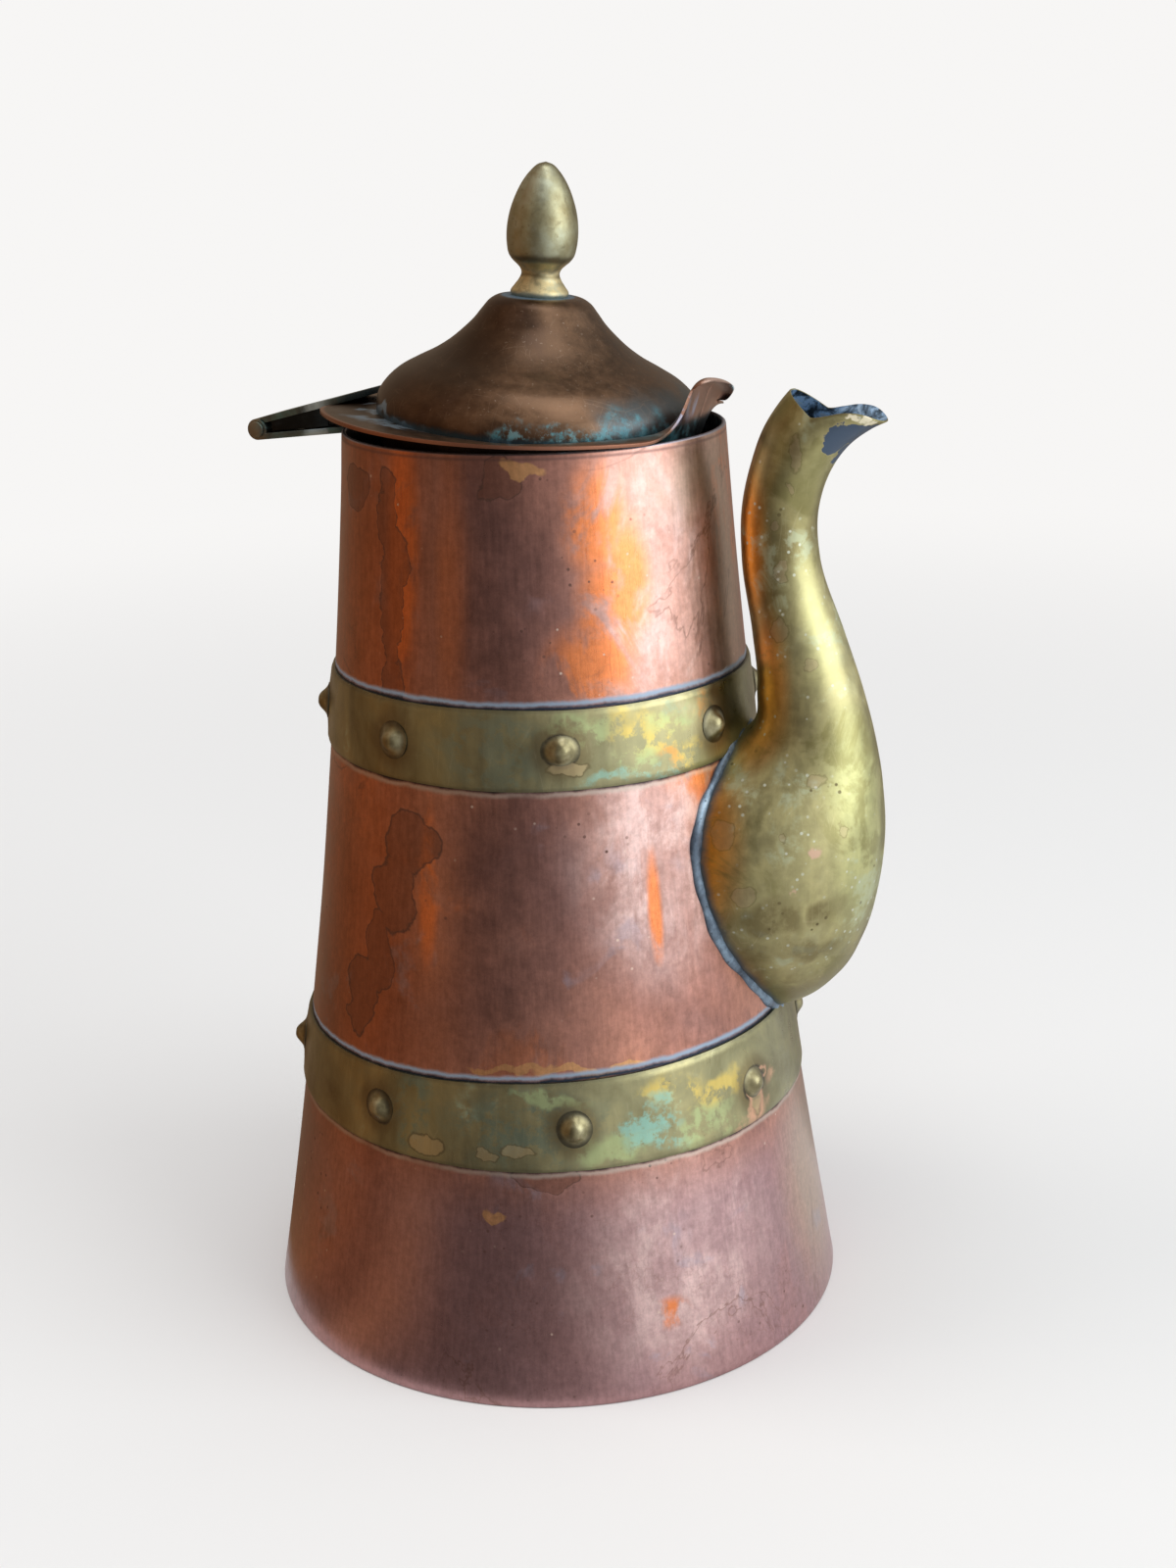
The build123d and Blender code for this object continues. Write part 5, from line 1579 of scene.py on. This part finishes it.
class POT_OT_stage(bpy.types.Operator):
    """Set the pale floor and world, the soft lamps, the reflected wall and the camera"""

    bl_idname = "pot.stage"
    bl_label = "Stage"

    def execute(self, context):
        self.lay_floor()
        self.light_world()
        for lamp in LAMPS:
            self.hang_lamp(*lamp)
        self.raise_wall()
        self.place_camera(context.scene)
        return {"FINISHED"}

    def bare_nodes(self, owner):
        """Nodes of a material or world without those that it starts with."""
        nodes = Nodes(owner)
        nodes.tree.nodes.clear()
        return nodes

    def seen_share(self, nodes):
        """1 for camera, glossy and transmission rays."""
        rays = nodes.node("ShaderNodeLightPath").outputs
        most = nodes.math("MAXIMUM", rays["Is Camera Ray"], rays["Is Glossy Ray"])
        return nodes.math("MAXIMUM", most, rays["Is Transmission Ray"])

    def lay_floor(self):
        """Disc whose shaded middle fades with distance into the pale backdrop."""
        angle = full_turn(96)
        rings = np.array(FLOOR_RINGS)[:, None]
        floor = grid_piece("floor", around(rings, angle, 0.0 * rings - FLOOR_DROP), wrap_rows=False,
                           closed=False)
        material = bpy.data.materials.new("pale_floor")
        nodes = self.bare_nodes(material)
        place = nodes.node("ShaderNodeTexCoord").outputs["Object"]
        away = nodes.fed("ShaderNodeVectorMath", place, operation="LENGTH", out="Value")
        fade = nodes.math("MULTIPLY", nodes.step(away, *FLOOR_FADE), self.seen_share(nodes))
        matt = nodes.fed("ShaderNodeBsdfDiffuse", FLOOR_TINT)
        pale = nodes.fed("ShaderNodeEmission", BACKDROP)
        mixed = nodes.fed("ShaderNodeMixShader", fade, matt, pale)
        nodes.feed(nodes.node("ShaderNodeOutputMaterial").inputs[0], mixed)
        floor.data.materials.append(material)

    def light_world(self):
        """Pale surround, weaker as a light than it looks."""
        world = bpy.data.worlds.new("pale_room")
        nodes = self.bare_nodes(world)
        light = nodes.fed("ShaderNodeBackground", WORLD_TINT, WORLD_LIGHT)
        seen = nodes.fed("ShaderNodeBackground", BACKDROP, 1.0)
        mixed = nodes.fed("ShaderNodeMixShader", self.seen_share(nodes), light, seen)
        nodes.feed(nodes.node("ShaderNodeOutputWorld").inputs[0], mixed)
        bpy.context.scene.world = world

    def standing(self, azimuth, elevation, distance):
        """Matrix at a direction and distance from the pot, with -Z looking at its middle."""
        turn = math.radians(azimuth)
        rise = math.radians(elevation)
        away = Vector((math.cos(turn) * math.cos(rise), math.sin(turn) * math.cos(rise), math.sin(rise)))
        look = away.to_track_quat("Z", "Y").to_matrix().to_4x4()
        return Matrix.Translation(AIM + away * distance) @ look

    def hang_lamp(self, name, azimuth, elevation, distance, wide, high, power, tint):
        """Soft rectangular lamp."""
        data = bpy.data.lights.new(name, "AREA")
        data.shape = "RECTANGLE"
        data.size = wide
        data.size_y = high
        data.energy = power
        data.color = tint
        lamp = bpy.data.objects.new(name, data)
        lamp.matrix_world = self.standing(azimuth, elevation, distance)
        bpy.context.scene.collection.objects.link(lamp)

    def raise_wall(self):
        """Curved dark wall, open on the bright side, that shows only in reflections.

        Its glow is a colour ramp over (azimuth + 180) / 360 round the pot.
        """
        angle = np.radians(np.linspace(*WALL_TURN, WALL_COLUMNS))[None, :]
        grid = around(WALL_PROFILE[:, :1] + 0 * angle, angle, WALL_PROFILE[:, 1:])
        wall = grid_piece("reflected_room", grid, wrap_rows=False, wrap_columns=False, closed=False)
        material = bpy.data.materials.new("room_reflection")
        nodes = self.bare_nodes(material)
        split = nodes.node("ShaderNodeSeparateXYZ")
        nodes.feed(split.inputs[0], nodes.node("ShaderNodeTexCoord").outputs["Object"])
        turn = nodes.math("ARCTAN2", split.outputs[1], split.outputs[0])
        share = nodes.fed("ShaderNodeMapRange", turn, -math.pi, math.pi)
        tones = [((azimuth + 180.0) / 360.0, tint) for azimuth, tint in ROOM_TONES]
        glow = nodes.fed("ShaderNodeEmission", nodes.ramp(share, *tones))
        nodes.feed(nodes.node("ShaderNodeOutputMaterial").inputs[0], glow)
        wall.data.materials.append(material)
        for ray in ("camera", "diffuse", "shadow", "transmission"):
            setattr(wall, "visible_" + ray, False)

    def place_camera(self, scene):
        """Camera at the photograph's viewing angle."""
        data = bpy.data.cameras.new("view")
        data.sensor_fit = "VERTICAL"
        data.sensor_height = CAMERA_FILM
        data.lens = CAMERA_LENS
        data.clip_start = 0.01
        camera = bpy.data.objects.new("view", data)
        axes = Matrix((CAMERA_RIGHT, CAMERA_UP, -CAMERA_FORWARD)).transposed()
        camera.matrix_world = Matrix.Translation(CAMERA_PLACE) @ axes.to_4x4()
        scene.collection.objects.link(camera)
        scene.camera = camera
        scene.view_settings.view_transform = "Standard"


OPERATORS = (POT_OT_body, POT_OT_hoops, POT_OT_rivets, POT_OT_spout, POT_OT_solder, POT_OT_lid, POT_OT_finial,
             POT_OT_hinge, POT_OT_stage)


class POT_PT_panel(bpy.types.Panel):
    """Sizes, colours and making steps of the pot"""

    bl_idname = "POT_PT_panel"
    bl_label = "Copper pot"
    bl_space_type = "VIEW_3D"
    bl_region_type = "UI"
    bl_category = "Pot"

    def draw(self, context):
        for name in PotSizes.__annotations__:
            self.layout.prop(context.scene.pot_sizes, name)
        for name in PotColours.__annotations__:
            self.layout.prop(context.scene.pot_colours, name)
        for operator in OPERATORS:
            self.layout.operator(operator.bl_idname)


CLASSES = (PotSizes, PotColours, *OPERATORS, POT_PT_panel)


def register():
    """Registers the classes and hangs the sizes and colours on the scene."""
    for made in CLASSES:
        bpy.utils.register_class(made)
    bpy.types.Scene.pot_sizes = PointerProperty(type=PotSizes)
    bpy.types.Scene.pot_colours = PointerProperty(type=PotColours)


def unregister():
    """Undoes register."""
    del bpy.types.Scene.pot_colours
    del bpy.types.Scene.pot_sizes
    for made in reversed(CLASSES):
        bpy.utils.unregister_class(made)


def main():
    """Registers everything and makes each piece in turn."""
    register()
    for operator in OPERATORS:
        group, name = operator.bl_idname.split(".")
        getattr(getattr(bpy.ops, group), name)()


if __name__ == "__main__":
    main()
